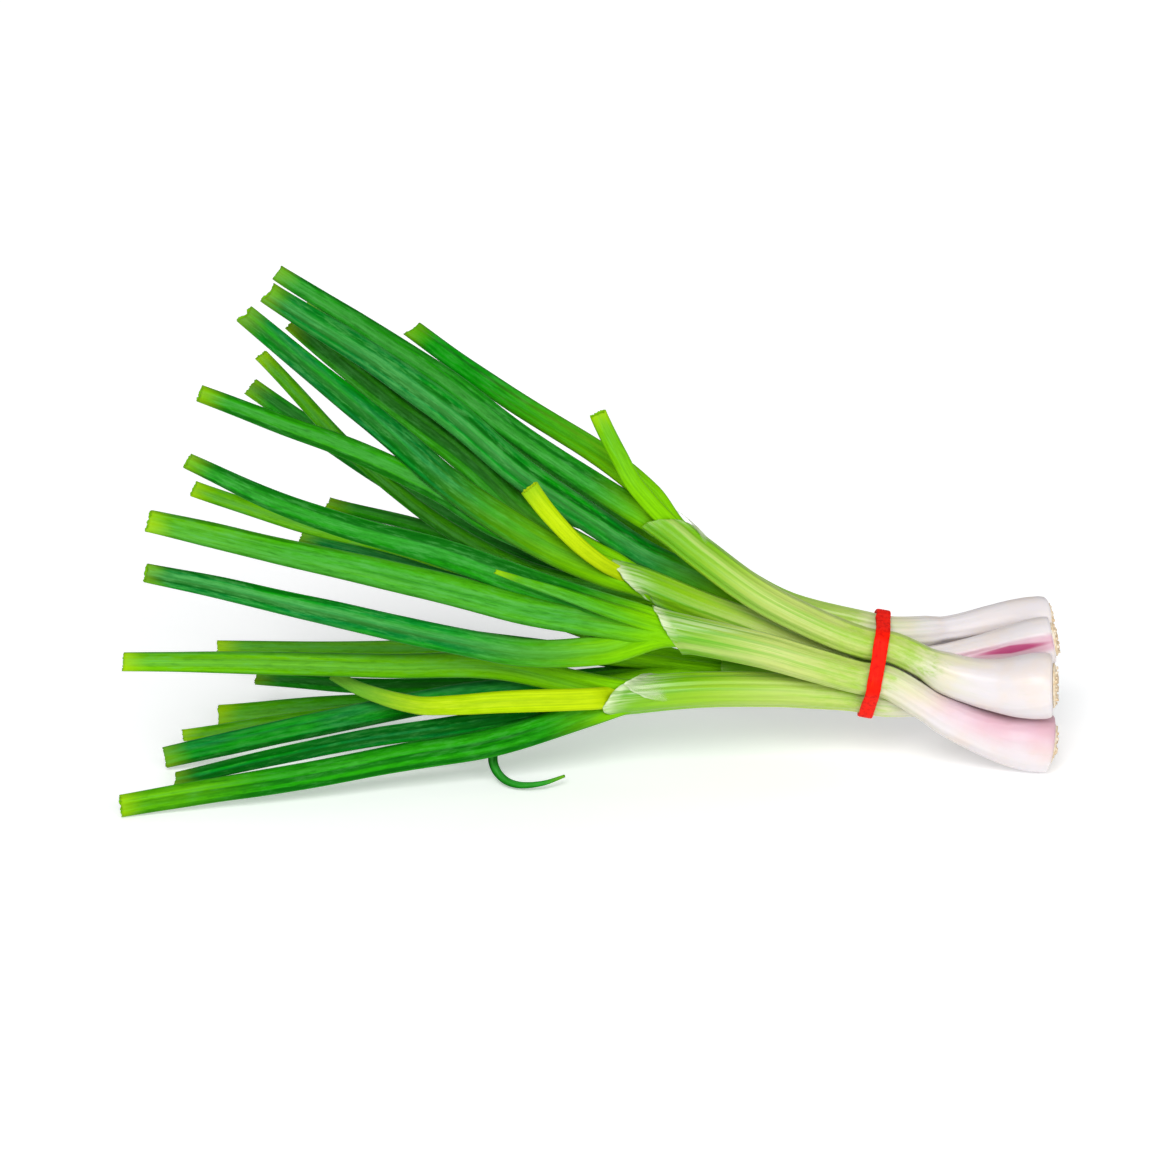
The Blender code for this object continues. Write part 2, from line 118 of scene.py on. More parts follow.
class Wire:
    """The output of a shader node, which takes part in Python's arithmetic."""

    def __init__(self, graph: "Graph", socket: bpy.types.NodeSocket) -> None:
        """Keeps the socket and the graph that it belongs to."""
        self.graph = graph
        self.socket = socket

    def __add__(self, other: "Wire | float") -> "Wire":
        """The sum."""
        return self.graph.math("ADD", self, other)

    def __radd__(self, other: float) -> "Wire":
        """The sum, with the number first."""
        return self.graph.math("ADD", other, self)

    def __sub__(self, other: "Wire | float") -> "Wire":
        """The difference."""
        return self.graph.math("SUBTRACT", self, other)

    def __rsub__(self, other: float) -> "Wire":
        """A number less this value."""
        return self.graph.math("SUBTRACT", other, self)

    def __mul__(self, other: "Wire | float") -> "Wire":
        """The product."""
        return self.graph.math("MULTIPLY", self, other)

    def __rmul__(self, other: float) -> "Wire":
        """The product, with the number first."""
        return self.graph.math("MULTIPLY", other, self)

    def __abs__(self) -> "Wire":
        """The value without its sign."""
        return self.graph.math("ABSOLUTE", self, 0.0)


Input = Wire | float | Sequence[float]

# The Mix node's sockets for colours, which share their names with those for numbers
MIX_FACTOR, MIX_FIRST, MIX_SECOND, MIX_COLOUR = 0, 6, 7, 2


class Graph:
    """The shader nodes of one material, built from expressions."""

    def __init__(self, name: str) -> None:
        """Starts an empty material.

        Args:
            name: The material's name.
        """
        self.material = bpy.data.materials.new(name)
        self.material.use_nodes = True
        self.tree = self.material.node_tree
        self.tree.nodes.clear()

    def node(
        self, kind: str, settings: Mapping[str, object], inputs: Mapping[str | int, Input]
    ) -> bpy.types.Node:
        """Adds a node.

        Args:
            kind: The node's type.
            settings: Its own settings, which are made first.
            inputs: Values or wires, by the name or number of the socket that takes them.

        Returns:
            The new node.
        """
        made = self.tree.nodes.new(kind)
        for name, value in settings.items():
            setattr(made, name, value)
        for name, value in inputs.items():
            socket = made.inputs[name]
            if isinstance(value, Wire):
                self.tree.links.new(value.socket, socket)
            elif isinstance(value, (int, float)):
                socket.default_value = value
            else:
                socket.default_value = tuple(value)[: len(socket.default_value)]
        return made

    def wire(
        self,
        kind: str,
        settings: Mapping[str, object],
        inputs: Mapping[str | int, Input],
        output: str | int = 0,
    ) -> Wire:
        """Adds a node and takes one of its outputs.

        Args:
            kind: The node's type.
            settings: Its own settings.
            inputs: Values or wires for its sockets.
            output: The name or number of the output.

        Returns:
            The wire from that output.
        """
        return Wire(self, self.node(kind, settings, inputs).outputs[output])

    def math(self, operation: str, a: Input, b: Input) -> Wire:
        """One step of arithmetic on two values."""
        return self.wire("ShaderNodeMath", {"operation": operation}, {0: a, 1: b})

    def mix(self, factor: Input, a: Input, b: Input, blend: str = "MIX") -> Wire:
        """A colour between two colours, or one laid over the other.

        Args:
            factor: 0 gives the first colour and 1 the second.
            a: The first colour.
            b: The second colour.
            blend: How the second colour is laid over the first.

        Returns:
            The mixed colour.
        """
        settings = {"data_type": "RGBA", "blend_type": blend, "clamp_factor": True}
        ends = {MIX_FACTOR: factor, MIX_FIRST: self.opaque(a), MIX_SECOND: self.opaque(b)}
        return self.wire("ShaderNodeMix", settings, ends, MIX_COLOUR)

    @staticmethod
    def opaque(colour: Input) -> Input:
        """A plain colour with its fourth number, or a wire as it is."""
        return colour if isinstance(colour, Wire) else (*colour, 1.0)

    def value(self, name: str) -> Wire:
        """A number that the mesh carries at its points."""
        return self.wire("ShaderNodeAttribute", {"attribute_name": name}, {}, "Fac")

    def vector(self, name: str) -> Wire:
        """A vector that the mesh carries at its points."""
        return self.wire("ShaderNodeAttribute", {"attribute_name": name}, {}, "Vector")

    def part(self, vector: Wire, axis: int) -> Wire:
        """One number of a vector."""
        return self.wire("ShaderNodeSeparateXYZ", {}, {0: vector}, axis)

    def parts(self, name: str) -> tuple[Wire, Wire, Wire]:
        """The three numbers of a vector that the mesh carries."""
        vector = self.vector(name)
        return self.part(vector, 0), self.part(vector, 1), self.part(vector, 2)

    def step(self, value: Input, low: float, high: float) -> Wire:
        """A soft step.

        Args:
            value: What is tested.
            low: Where the step is still 0.
            high: Where the step has reached 1. It may be below low.

        Returns:
            A value from 0 to 1.
        """
        settings = {"interpolation_type": "SMOOTHSTEP"}
        rising = low < high
        first, last = (low, high) if rising else (high, low)
        ends = {0: value, 1: first, 2: last, 3: float(not rising), 4: float(rising)}
        return self.wire("ShaderNodeMapRange", settings, ends)

    def speckle(self, vector: Wire, scale: float, detail: float = 2.0, rough: float = 0.5) -> Wire:
        """Cloudy noise from 0 to 1.

        Args:
            vector: Where the noise is read.
            scale: How fine it is.
            detail: How many finer layers it has.
            rough: How strong those layers are.

        Returns:
            The noise.
        """
        inputs = {"Vector": vector, "Scale": scale, "Detail": detail, "Roughness": rough}
        return self.wire("ShaderNodeTexNoise", {}, inputs, 0)

    def grain(self, vector: Wire, fineness: Place, detail: float = 2.0, rough: float = 0.5) -> Wire:
        """Noise drawn out along the skin.

        Args:
            vector: Where the noise is read.
            fineness: How fine it is along each axis.
            detail: How many finer layers it has.
            rough: How strong those layers are.

        Returns:
            The noise.
        """
        drawn = self.wire("ShaderNodeVectorMath", {"operation": "MULTIPLY"}, {0: vector, 1: fineness})
        return self.speckle(drawn, 1.0, detail, rough)

    def bump(self, height: Wire, distance: float) -> Wire:
        """The normal of a surface with fine relief, which stands up to a distance in metres."""
        return self.wire("ShaderNodeBump", {}, {"Height": height, "Distance": distance})

    def finish(self, inputs: Mapping[str | int, Input]) -> bpy.types.Material:
        """Adds the surface shader and closes the material.

        Args:
            inputs: Values or wires for the shader's sockets.

        Returns:
            The finished material.
        """
        shader = self.wire("ShaderNodeBsdfPrincipled", {}, inputs)
        self.node("ShaderNodeOutputMaterial", {}, {"Surface": shader})
        return self.material


@dataclass(frozen=True)
class Sheet:
    """The leaning sheet that the bunch is laid out on, read in millimetres.

    Args:
        lean: How far the sheet leans back.
        middle_along: Where the middle of the bunch lies along the sheet.
        middle_back: How far back the middle of the bunch lies.
    """

    lean: float = math.radians(20.0)
    middle_along: float = 0.54
    middle_back: float = 2.01

    @property
    def towards_front(self) -> Vector:
        """The direction from the bunch to the one who looks at it."""
        return Vector((0.0, -math.cos(self.lean), math.sin(self.lean)))

    def at(self, along: float, up: float, back: float) -> Vector:
        """A point of the sheet.

        Args:
            along: How far along the sheet it is.
            up: How far up the sheet it is.
            back: How far back it lies.

        Returns:
            The point in metres.
        """
        rise = (up - back * math.sin(self.lean)) / math.cos(self.lean)
        return Vector((along - self.middle_along, back - self.middle_back, rise)) * MM


SHEET = Sheet()


class Route:
    """A smooth line through a few points, read by the distance along it."""

    STEPS = 24

    def __init__(self, points: Sequence[Vector]) -> None:
        """Draws the line.

        Args:
            points: The points that it passes through.
        """
        dense: list[Vector] = []
        last = len(points) - 1
        for i in range(last):
            before, start, end = points[max(i - 1, 0)], points[i], points[i + 1]
            after = points[min(i + 2, last)]
            span = (end - start).length
            leave = (end - before).normalized() * span / 3
            arrive = (after - start).normalized() * span / 3
            piece = interpolate_bezier(start, start + leave, end - arrive, end, self.STEPS + 1)
            dense.extend(piece[:-1] if i < last - 1 else piece)
        self.line = np.array([tuple(p) for p in dense])
        steps = np.linalg.norm(np.diff(self.line, axis=0), axis=1)
        self.walked = np.concatenate(([0.0], np.cumsum(steps)))
        self.length = float(self.walked[-1])
        slopes = np.gradient(self.line, self.walked, axis=0)
        self.slopes = slopes / np.linalg.norm(slopes, axis=1, keepdims=True)

    def distance_to(self, point: Vector) -> float:
        """How far along the line its nearest point to another point is."""
        return float(self.walked[np.argmin(np.linalg.norm(self.line - np.array(point), axis=1))])

    def read(self, distances: np.ndarray) -> tuple[np.ndarray, np.ndarray]:
        """Points and directions of the line.

        Args:
            distances: How far along the line each is. Past either end the line runs on straight.

        Returns:
            The points and the unit directions, one row each.
        """
        inside = np.clip(distances, 0.0, self.length)
        points = np.stack([np.interp(inside, self.walked, self.line[:, k]) for k in range(3)], axis=1)
        slopes = np.stack([np.interp(inside, self.walked, self.slopes[:, k]) for k in range(3)], axis=1)
        slopes /= np.linalg.norm(slopes, axis=1, keepdims=True)
        return points + slopes * (distances - inside)[:, None], slopes


def across_axes(slopes: np.ndarray, turns: np.ndarray) -> tuple[np.ndarray, np.ndarray]:
    """Two unit axes across each direction: one along the sheet and one out of it.

    Args:
        slopes: Unit directions, one row each.
        turns: How far the axes are turned about each direction, in degrees.

    Returns:
        The axes across and the axes out, one row each.
    """
    side = np.cross(slopes, np.array(SHEET.towards_front))
    side /= np.linalg.norm(side, axis=1, keepdims=True)
    front = np.cross(side, slopes)
    angle = np.radians(turns)[:, None]
    return side * np.cos(angle) + front * np.sin(angle), front * np.cos(angle) - side * np.sin(angle)


def wander(places: np.ndarray, seed: float) -> np.ndarray:
    """Slow, smooth, repeatable randomness.

    Args:
        places: Where it is read. It changes about once in a step of 1.
        seed: Tells one wander from another.

    Returns:
        Values from about -1 to 1.
    """
    return np.array([noise.noise(Vector((float(p), seed * 7.31, seed * 1.7))) for p in places]) * 1.6


def wander_round(angles: np.ndarray, rate: float, seed: float) -> np.ndarray:
    """Smooth randomness round a circle, which meets itself.

    Args:
        angles: Where round the circle it is read.
        rate: How often it changes.
        seed: Tells one wander from another.

    Returns:
        Values from about -1 to 1.
    """
    spots = [Vector((math.cos(a) * rate, math.sin(a) * rate, seed * 3.17)) for a in angles]
    return np.array([noise.noise(spot) for spot in spots]) * 1.6


def ramp(values: np.ndarray | float, start: float, length: float) -> np.ndarray:
    """A smooth rise from 0 to 1 that starts at a value and takes a length."""
    share = np.clip((np.asarray(values) - start) / length, 0, 1)
    return share * share * (3 - 2 * share)


def rest_on_floor(rings: np.ndarray) -> np.ndarray:
    """The same points, with what would sink into the floor pressed flat on it."""
    rings[..., 2] = np.maximum(rings[..., 2], 0.0)
    return rings


class Skin:
    """The points, faces and carried values of one mesh while it is put together."""

    def __init__(self) -> None:
        """Starts with nothing."""
        self.points: list[np.ndarray] = []
        self.faces: list[np.ndarray] = []
        self.values: dict[str, list[np.ndarray]] = {}
        self.count = 0

    def add(self, rings: np.ndarray, values: Mapping[str, np.ndarray], closed: bool = True) -> None:
        """Adds a tube or a strip.

        Args:
            rings: Its points: ring by ring, then round each ring.
            values: What each point carries, in the same order.
            closed: Whether each ring closes on itself.
        """
        rows, sides = rings.shape[:2]
        grid = np.arange(rows * sides).reshape(rows, sides) + self.count
        ahead = np.roll(grid, -1, axis=1)
        if not closed:
            grid, ahead = grid[:, :-1], ahead[:, :-1]
        corners = (grid[:-1], ahead[:-1], ahead[1:], grid[1:])
        self.faces.append(np.stack([c.reshape(-1) for c in corners], axis=1))
        self.points.append(rings.reshape(-1, 3))
        for name, value in values.items():
            self.values.setdefault(name, []).append(value.reshape(rows * sides, -1))
        self.count += rows * sides

    def mesh(self, name: str, material: bpy.types.Material) -> bpy.types.Object:
        """Makes the object.

        Args:
            name: The piece's name.
            material: What it is dressed in.

        Returns:
            The object, linked to the scene.
        """
        data = bpy.data.meshes.new(name)
        data.from_pydata(np.concatenate(self.points).tolist(), [], np.concatenate(self.faces).tolist())
        for key, parts in self.values.items():
            value = np.concatenate(parts).astype(np.float32)
            wide = value.shape[1] == 3
            attribute = data.attributes.new(key, "FLOAT_VECTOR" if wide else "FLOAT", "POINT")
            attribute.data.foreach_set("vector" if wide else "value", value.ravel())
        data.materials.append(material)
        data.shade_smooth()
        data.update()
        made = bpy.data.objects.new(name, data)
        bpy.context.scene.collection.objects.link(made)
        return made


def place_piece(piece: bpy.types.Object, nodes: Sequence[str]) -> None:
    """Fixes a piece to the part and reports it.

    Args:
        piece: The finished piece.
        nodes: The solids that it stands for.
    """
    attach(piece, BODY)
    if nodes:
        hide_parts(*nodes)
    LOG.info("%s: %d faces, for %s", piece.name, len(piece.data.polygons), ", ".join(nodes) or "no solid")


@dataclass(frozen=True)
class LeafFinish:
    """The waxy skin of a green or yellow leaf, streaked along its length.

    Args:
        name: The material's name.
        deep: The main colour.
        dark: The colour of its dark flecks, and of the painted shade at its margins.
        bloom: The bluish colour of the wax on it.
        light: The colour of its light strokes, and of the painted sheen down its centre and the painted
            highlights on its thin edges.
        lime: The colour of a young or pale leaf.
        base: The colour where it leaves its sheath.
        tip: The colour of the cut end.
        tip_reach: How far that colour reaches, in metres.
    """

    name: str
    deep: Colour
    dark: Colour
    bloom: Colour
    light: Colour
    lime: Colour
    base: Colour
    tip: Colour
    tip_reach: float = 18.0 * MM

    GLOSS = 0.38
    VEIN_HEIGHT = 0.12 * MM
    VEINS = (1700.0, 1700.0, 16.0)
    STRIPES = (300.0, 300.0, 7.0)
    STROKES = (1000.0, 1000.0, 150.0)
    CLOUDS = (140.0, 140.0, 36.0)
    BANDS = (430.0, 430.0, 4.0)
    IN_SHADE = (0.62, 0.72, 0.50)
    IN_LIGHT = (1.10, 1.06, 1.10)

    def material(self) -> bpy.types.Material:
        """Builds the material from the values that the leaf meshes carry."""
        g = Graph(self.name)
        straight = g.vector("straight")
        side, front, inside = g.parts("section")
        _, from_tip, from_base = g.parts("places")
        lime, bloom, streak_and_sheen = g.parts("look")
        veins = g.grain(straight, self.VEINS, 3.0, 0.6)
        stripes = g.grain(straight, self.STRIPES)
        strokes = g.grain(straight, self.STROKES, 4.0, 0.7)
        clouds = g.grain(straight, self.CLOUDS, 3.0)
        bands = g.grain(straight, self.BANDS, 1.0)

        # The skin: wax, lime and lengthwise bands
        colour = g.mix(g.step(stripes * 0.6 + clouds * 0.6, 0.46, 0.70) * bloom, self.deep, self.bloom)
        colour = g.mix(lime * (0.6 + g.step(stripes, 0.35, 0.65) * 0.4), colour, self.lime)
        colour = g.mix(g.step(bands, 0.53, 0.36) * (0.85 - lime * 0.50), colour, self.dark)
        colour = g.mix(g.step(bands, 0.52, 0.70) * (0.15 + streak_and_sheen * 0.45), colour, self.light)

        # Short strokes, then painted light across the leaf: a painted sheen down its middle, painted shade
        # at its margins and painted highlights on its thin edges
        colour = g.mix(g.step(strokes, 0.50, 0.30) * (0.50 - lime * 0.25), colour, self.dark)
        flecks = g.step(strokes + clouds * 0.3, 0.62, 0.84) * (0.20 + streak_and_sheen * 0.35)
        colour = g.mix(flecks, colour, self.light)
        # Painted sheen: a lighter middle on the front face of the leaf
        centre = g.step(abs(side), 0.50, 0.12) * g.step(front, -0.05, 0.30)
        colour = g.mix(centre * streak_and_sheen * (0.15 + stripes * 0.8), colour, self.light)
        # Painted shade: the sides of the leaf darken where they turn away
        shaded_margin = g.step(abs(side), 0.62, 0.90) * (0.25 + clouds * 0.6)
        colour = g.mix(shaded_margin * 0.55, colour, self.dark)
        # Painted highlight: thin light lines along the leaf's edges
        edge = g.step(abs(side), 0.955, 0.995) * g.step(veins, 0.30, 0.55)
        colour = g.mix(edge * (0.25 + streak_and_sheen * 0.5), colour, self.light)

        # The young base, the veins, the aged tip and the inside of the open end
        grown = from_base + bands * 0.030
        colour = g.mix(g.step(grown, 0.100, 0.035) * 0.60, colour, self.lime)
        colour = g.mix(g.step(grown, 0.058, 0.020) * 0.90, colour, self.base)
        lit = g.step(veins * 0.7 + strokes * 0.3, 0.34, 0.64)
        colour = g.mix(0.66, colour, g.mix(lit, self.IN_SHADE, self.IN_LIGHT), "MULTIPLY")
        ragged_tip = from_tip + clouds * 0.010 + stripes * 0.006
        aged = g.step(ragged_tip, self.tip_reach, self.tip_reach * 0.28)
        colour = g.mix(aged * (0.40 + lime * 0.35), colour, self.tip)
        colour = g.mix(inside * 0.8, colour, self.base)
        return g.finish(
            {
                "Base Color": colour,
                "Roughness": self.GLOSS + bloom * 0.10 + veins * 0.12,
                "Specular IOR Level": 0.06,
                "Specular Tint": (0.55, 1.0, 0.45, 1.0),
                "Normal": g.bump(veins * 0.7 + stripes * 0.6, self.VEIN_HEIGHT),
            }
        )


@dataclass(frozen=True)
class StalkFinish:
    """The skin of a plant from its white bulb to the green mouth of its sheath.

    Args:
        name: The material's name.
        white: The main colour of the bulb.
        cream: The colour of its warmer patches.
        pink: The colour of its blush.
        magenta: The colour of the seam in that blush.
        pale: The colour just past the band, and of the pale bands in the green.
        lime: The colour of the sheath.
        leaf: The colour of its ribs and of its mouth.
        paper: The colour of its papery film and rim.
    """

    name: str = "bulb_and_sheath_skin"
    white: Colour = srgb(214, 208, 210)
    cream: Colour = srgb(218, 205, 197)
    pink: Colour = srgb(200, 152, 170)
    magenta: Colour = srgb(170, 44, 104)
    pale: Colour = srgb(192, 200, 122)
    lime: Colour = srgb(138, 184, 0)
    leaf: Colour = srgb(78, 160, 0)
    paper: Colour = srgb(206, 218, 176)

    GLOSS = 0.26
    VEIN_HEIGHT = 0.10 * MM
    VEINS = (1150.0, 1150.0, 11.0)
    STRIPES = (230.0, 230.0, 9.0)
    BANDS = (520.0, 520.0, 5.0)
    MOTTLE = (500.0, 500.0, 170.0)
    SEAM_PLACE = 14.0 * MM
    IN_SHADE = (0.80, 0.84, 0.70)
    IN_LIGHT = (1.03, 1.03, 1.03)

    def material(self) -> bpy.types.Material:
        """Builds the material from the values that the stalk meshes carry."""
        g = Graph(self.name)
        straight = g.vector("straight")
        inside = g.part(g.vector("section"), 2)
        from_root, past_band, from_rim = g.parts("places")
        pink, green, papery = g.parts("look")
        fresh = g.value("fresh")
        veins = g.grain(straight, self.VEINS, 3.0, 0.6)
        stripes = g.grain(straight, self.STRIPES)
        bands = g.grain(straight, self.BANDS, 1.0)
        mottle = g.grain(straight, self.MOTTLE, 3.0, 0.7)
        clouds = g.speckle(straight, 90.0, 3.0)

        # The bulb: white and cream, with a pink blush and a magenta seam
        colour = g.mix(g.step(clouds, 0.40, 0.70) * 0.8, self.white, self.cream)
        blush = g.step(stripes * 0.25 + clouds * 0.35 + pink, 0.45, 1.15) * g.step(from_root, 0.060, 0.020)
        colour = g.mix(blush * 0.8, colour, self.pink)
        seam = g.step(pink + stripes * 0.20 - abs(from_root - self.SEAM_PLACE) * 20.0, 0.86, 1.04)
        colour = g.mix(seam * 0.9, colour, self.magenta)

        # The sheath: pale past the band, then lime, and leaf green at its mouth
        paler = g.step(past_band + stripes * 0.03 + fresh * 0.010, -0.012, 0.026)
        colour = g.mix(paler, colour, self.pale)
        growing = g.step(past_band + stripes * 0.03 + green * 0.03, 0.018, 0.078)
        colour = g.mix(growing * 0.95, colour, self.lime)
        colour = g.mix(g.step(from_rim + stripes * 0.014, 0.046, 0.008) * 0.60, colour, self.leaf)

        # Its ribs, its pale and green bands, and the mottled green at the rubber band
        ribs = g.step(veins, 0.54, 0.72) * (0.04 + g.step(past_band, -0.030, 0.020) * 0.44)
        colour = g.mix(ribs, colour, self.leaf)
        pale_bands = g.step(stripes, 0.42, 0.26) * g.step(past_band, -0.02, 0.02)
        colour = g.mix(pale_bands * 0.5, colour, self.pale)
        green_bands = g.step(bands, 0.52, 0.66) * g.step(past_band, -0.030, 0.060)
        colour = g.mix(green_bands * 0.50, colour, self.leaf)
        reached = past_band + mottle * 0.03 + fresh * 0.014
        near_band = g.step(reached, 0.006, 0.020) * g.step(past_band, 0.045, 0.0)
        colour = g.mix(near_band * (0.34 + g.step(mottle, 0.35, 0.70) * 0.45), colour, self.lime)

        # The papery film and rim, the veins and the inside of the mouth
        film = g.step(papery * 0.030 - from_rim + stripes * 0.016, 0.004, 0.016)
        colour = g.mix(film * g.step(veins, 0.38, 0.62) * 0.50, colour, self.paper)
        rim = g.step(from_rim + veins * 0.003 + clouds * 0.002, 0.0076, 0.0030)
        torn = rim * g.step(papery, 0.05, 0.40) * (0.40 + g.step(veins, 0.35, 0.60) * 0.5)
        colour = g.mix(torn, colour, self.paper)
        shade = g.mix(g.step(veins, 0.32, 0.60), self.IN_SHADE, self.IN_LIGHT)
        colour = g.mix(g.step(past_band, -0.020, 0.030) * 0.8, colour, shade, "MULTIPLY")
        colour = g.mix(inside * 0.8, colour, self.lime)
        return g.finish(
            {
                "Base Color": colour,
                "Roughness": self.GLOSS + veins * 0.14,
                "Specular IOR Level": 0.30,
                "Subsurface Weight": 0.30,
                "Subsurface Radius": (0.9, 0.8, 0.5),
                "Subsurface Scale": 4.0 * MM,
                "Normal": g.bump(veins * 0.6 + stripes * 0.5, self.VEIN_HEIGHT),
            }
        )


@dataclass(frozen=True)
class CollarFinish:
    """The dry, papery rim of a sheath, which the leaf shows through.

    Args:
        name: The material's name.
        paper: Its colour at the rim.
        green: Its colour further back.
        dry: The colour of its dry patches.
    """

    name: str = "papery_collar"
    paper: Colour = srgb(214, 226, 188)
    green: Colour = srgb(168, 200, 96)
    dry: Colour = srgb(208, 192, 160)

    FIBRES = (1500.0, 1500.0, 60.0)
    CRINKLES = (420.0, 420.0, 260.0)
    CRINKLE_HEIGHT = 0.18 * MM

    def material(self) -> bpy.types.Material:
        """Builds the material, thinner and drier towards the rim."""
        g = Graph(self.name)
        straight = g.vector("straight")
        to_rim, share, aside = g.parts("places")
        fibres = g.grain(straight, self.FIBRES, 3.0, 0.6)
        crinkles = g.grain(straight, self.CRINKLES, 3.0, 0.6)
        colour = g.mix(g.step(to_rim + fibres * 0.006, 0.003, 0.022), self.paper, self.green)
        colour = g.mix(g.step(crinkles, 0.55, 0.75) * g.step(to_rim, 0.008, 0.0), colour, self.dry)
        cover = 0.24 + g.step(fibres, 0.35, 0.70) * 0.36 + g.step(to_rim, 0.0016, 0.0004) * 0.25
        fade = g.step(share, 0.0, 0.45) * g.step(abs(aside), 1.0, 0.55)
        return g.finish(
            {
                "Base Color": colour,
                "Roughness": 0.42 + fibres * 0.2,
                "Alpha": cover * fade,
                "Normal": g.bump(fibres * 0.5 + crinkles, self.CRINKLE_HEIGHT),
            }
        )


@dataclass(frozen=True)
class RootFinish:
    """The corky root plate and the stumps of its trimmed roots.

    Args:
        name: The material's name.
        cream: The lighter colour of the plate.
        tan: Its darker colour.
        brown: The colour of the cork's grain and of the cut ends.
    """

    name: str = "trimmed_roots"
    cream: Colour = srgb(228, 216, 194)
    tan: Colour = srgb(214, 190, 152)
    brown: Colour = srgb(178, 146, 106)

    GRAIN_HEIGHT = 0.2 * MM

    def material(self) -> bpy.types.Material:
        """Builds the material, browner where the roots were cut."""
        g = Graph(self.name)
        straight = g.vector("straight")
        cut = g.part(g.vector("places"), 0)
        cork = g.speckle(straight, 1600.0, 4.0, 0.65)
        patches = g.speckle(straight, 420.0, 3.0)
        colour = g.mix(g.step(patches, 0.40, 0.62), self.cream, self.tan)
        colour = g.mix(g.step(cork, 0.56, 0.72) * 0.7, colour, self.brown)
        colour = g.mix(g.step(cut, 0.62, 1.0) * 0.55, colour, self.brown)
        bump = g.bump(cork, self.GRAIN_HEIGHT)
        return g.finish({"Base Color": colour, "Roughness": 0.62 + cork * 0.3, "Normal": bump})


@dataclass(frozen=True)
class BandFinish:
    """Red rubber with a dull, slightly mottled face.

    Args:
        name: The material's name.
        red: Its main colour.
        dark: The colour of its darker patches.
        dull: The colour of its fine lengthwise lines.
    """

    name: str = "red_rubber"
    red: Colour = srgb(236, 22, 0)
    dark: Colour = srgb(206, 8, 0)
    dull: Colour = srgb(244, 66, 12)

    LINES = (160.0, 2600.0, 2600.0)
    RELIEF = 0.12 * MM

    def material(self) -> bpy.types.Material:
        """Builds the material."""
        g = Graph(self.name)
        straight = g.vector("straight")
        mottle = g.speckle(straight, 700.0, 4.0, 0.6)
        grit = g.speckle(straight, 3200.0)
        lines = g.grain(straight, self.LINES)
        colour = g.mix(g.step(mottle, 0.42, 0.66), self.red, self.dark)
        colour = g.mix(g.step(lines, 0.58, 0.74) * 0.25, colour, self.dull)
        return g.finish(
            {
                "Base Color": colour,
                "Roughness": 0.42 + mottle * 0.22,
                "Specular IOR Level": 0.08,
                "Normal": g.bump(mottle * 0.6 + grit * 0.3 + lines * 0.4, self.RELIEF),
            }
        )


@dataclass(frozen=True)
class LeafLook:
    """The colours of one leaf.

    Args:
        lime: How pale and yellow it is, 0 to 1.
        bloom: How much bluish wax it has, 0 to 1.
        streak_and_sheen: How light its streaks and strokes are, and how strong the painted sheen down its
            middle and the painted highlights on its edges are, 0 to 1.
        young: How far the lime of its base reaches, 1 for about 6 cm.
        fade: How much paler its outer end grows, 0 to 1.
    """

    lime: float
    bloom: float
    streak_and_sheen: float
    young: float = 1.0
    fade: float = 0.0


DARK = LeafLook(0.10, 0.35, 0.32, 0.40)
BLUISH = LeafLook(0.0, 1.0, 0.30)
STREAKED = LeafLook(0.0, 0.9, 0.58, 0.45)
WAXY = LeafLook(0.0, 0.9, 0.50, 0.9)
DEEP = LeafLook(0.0, 1.0, 0.0, 0.35)
GREEN = LeafLook(0.20, 0.35, 0.32, 0.5)
FRESH = LeafLook(0.40, 0.15, 0.36, 0.45, 0.45)
LIME = LeafLook(1.0, 0.0, 0.40)
OLIVE = LeafLook(0.0, 0.0, 0.0)
PURE = LeafLook(0.10, 0.0, 0.0, 0.35, 0.75)
PLAIN = LeafLook(0.30, 0.35, 0.32, 0.7)


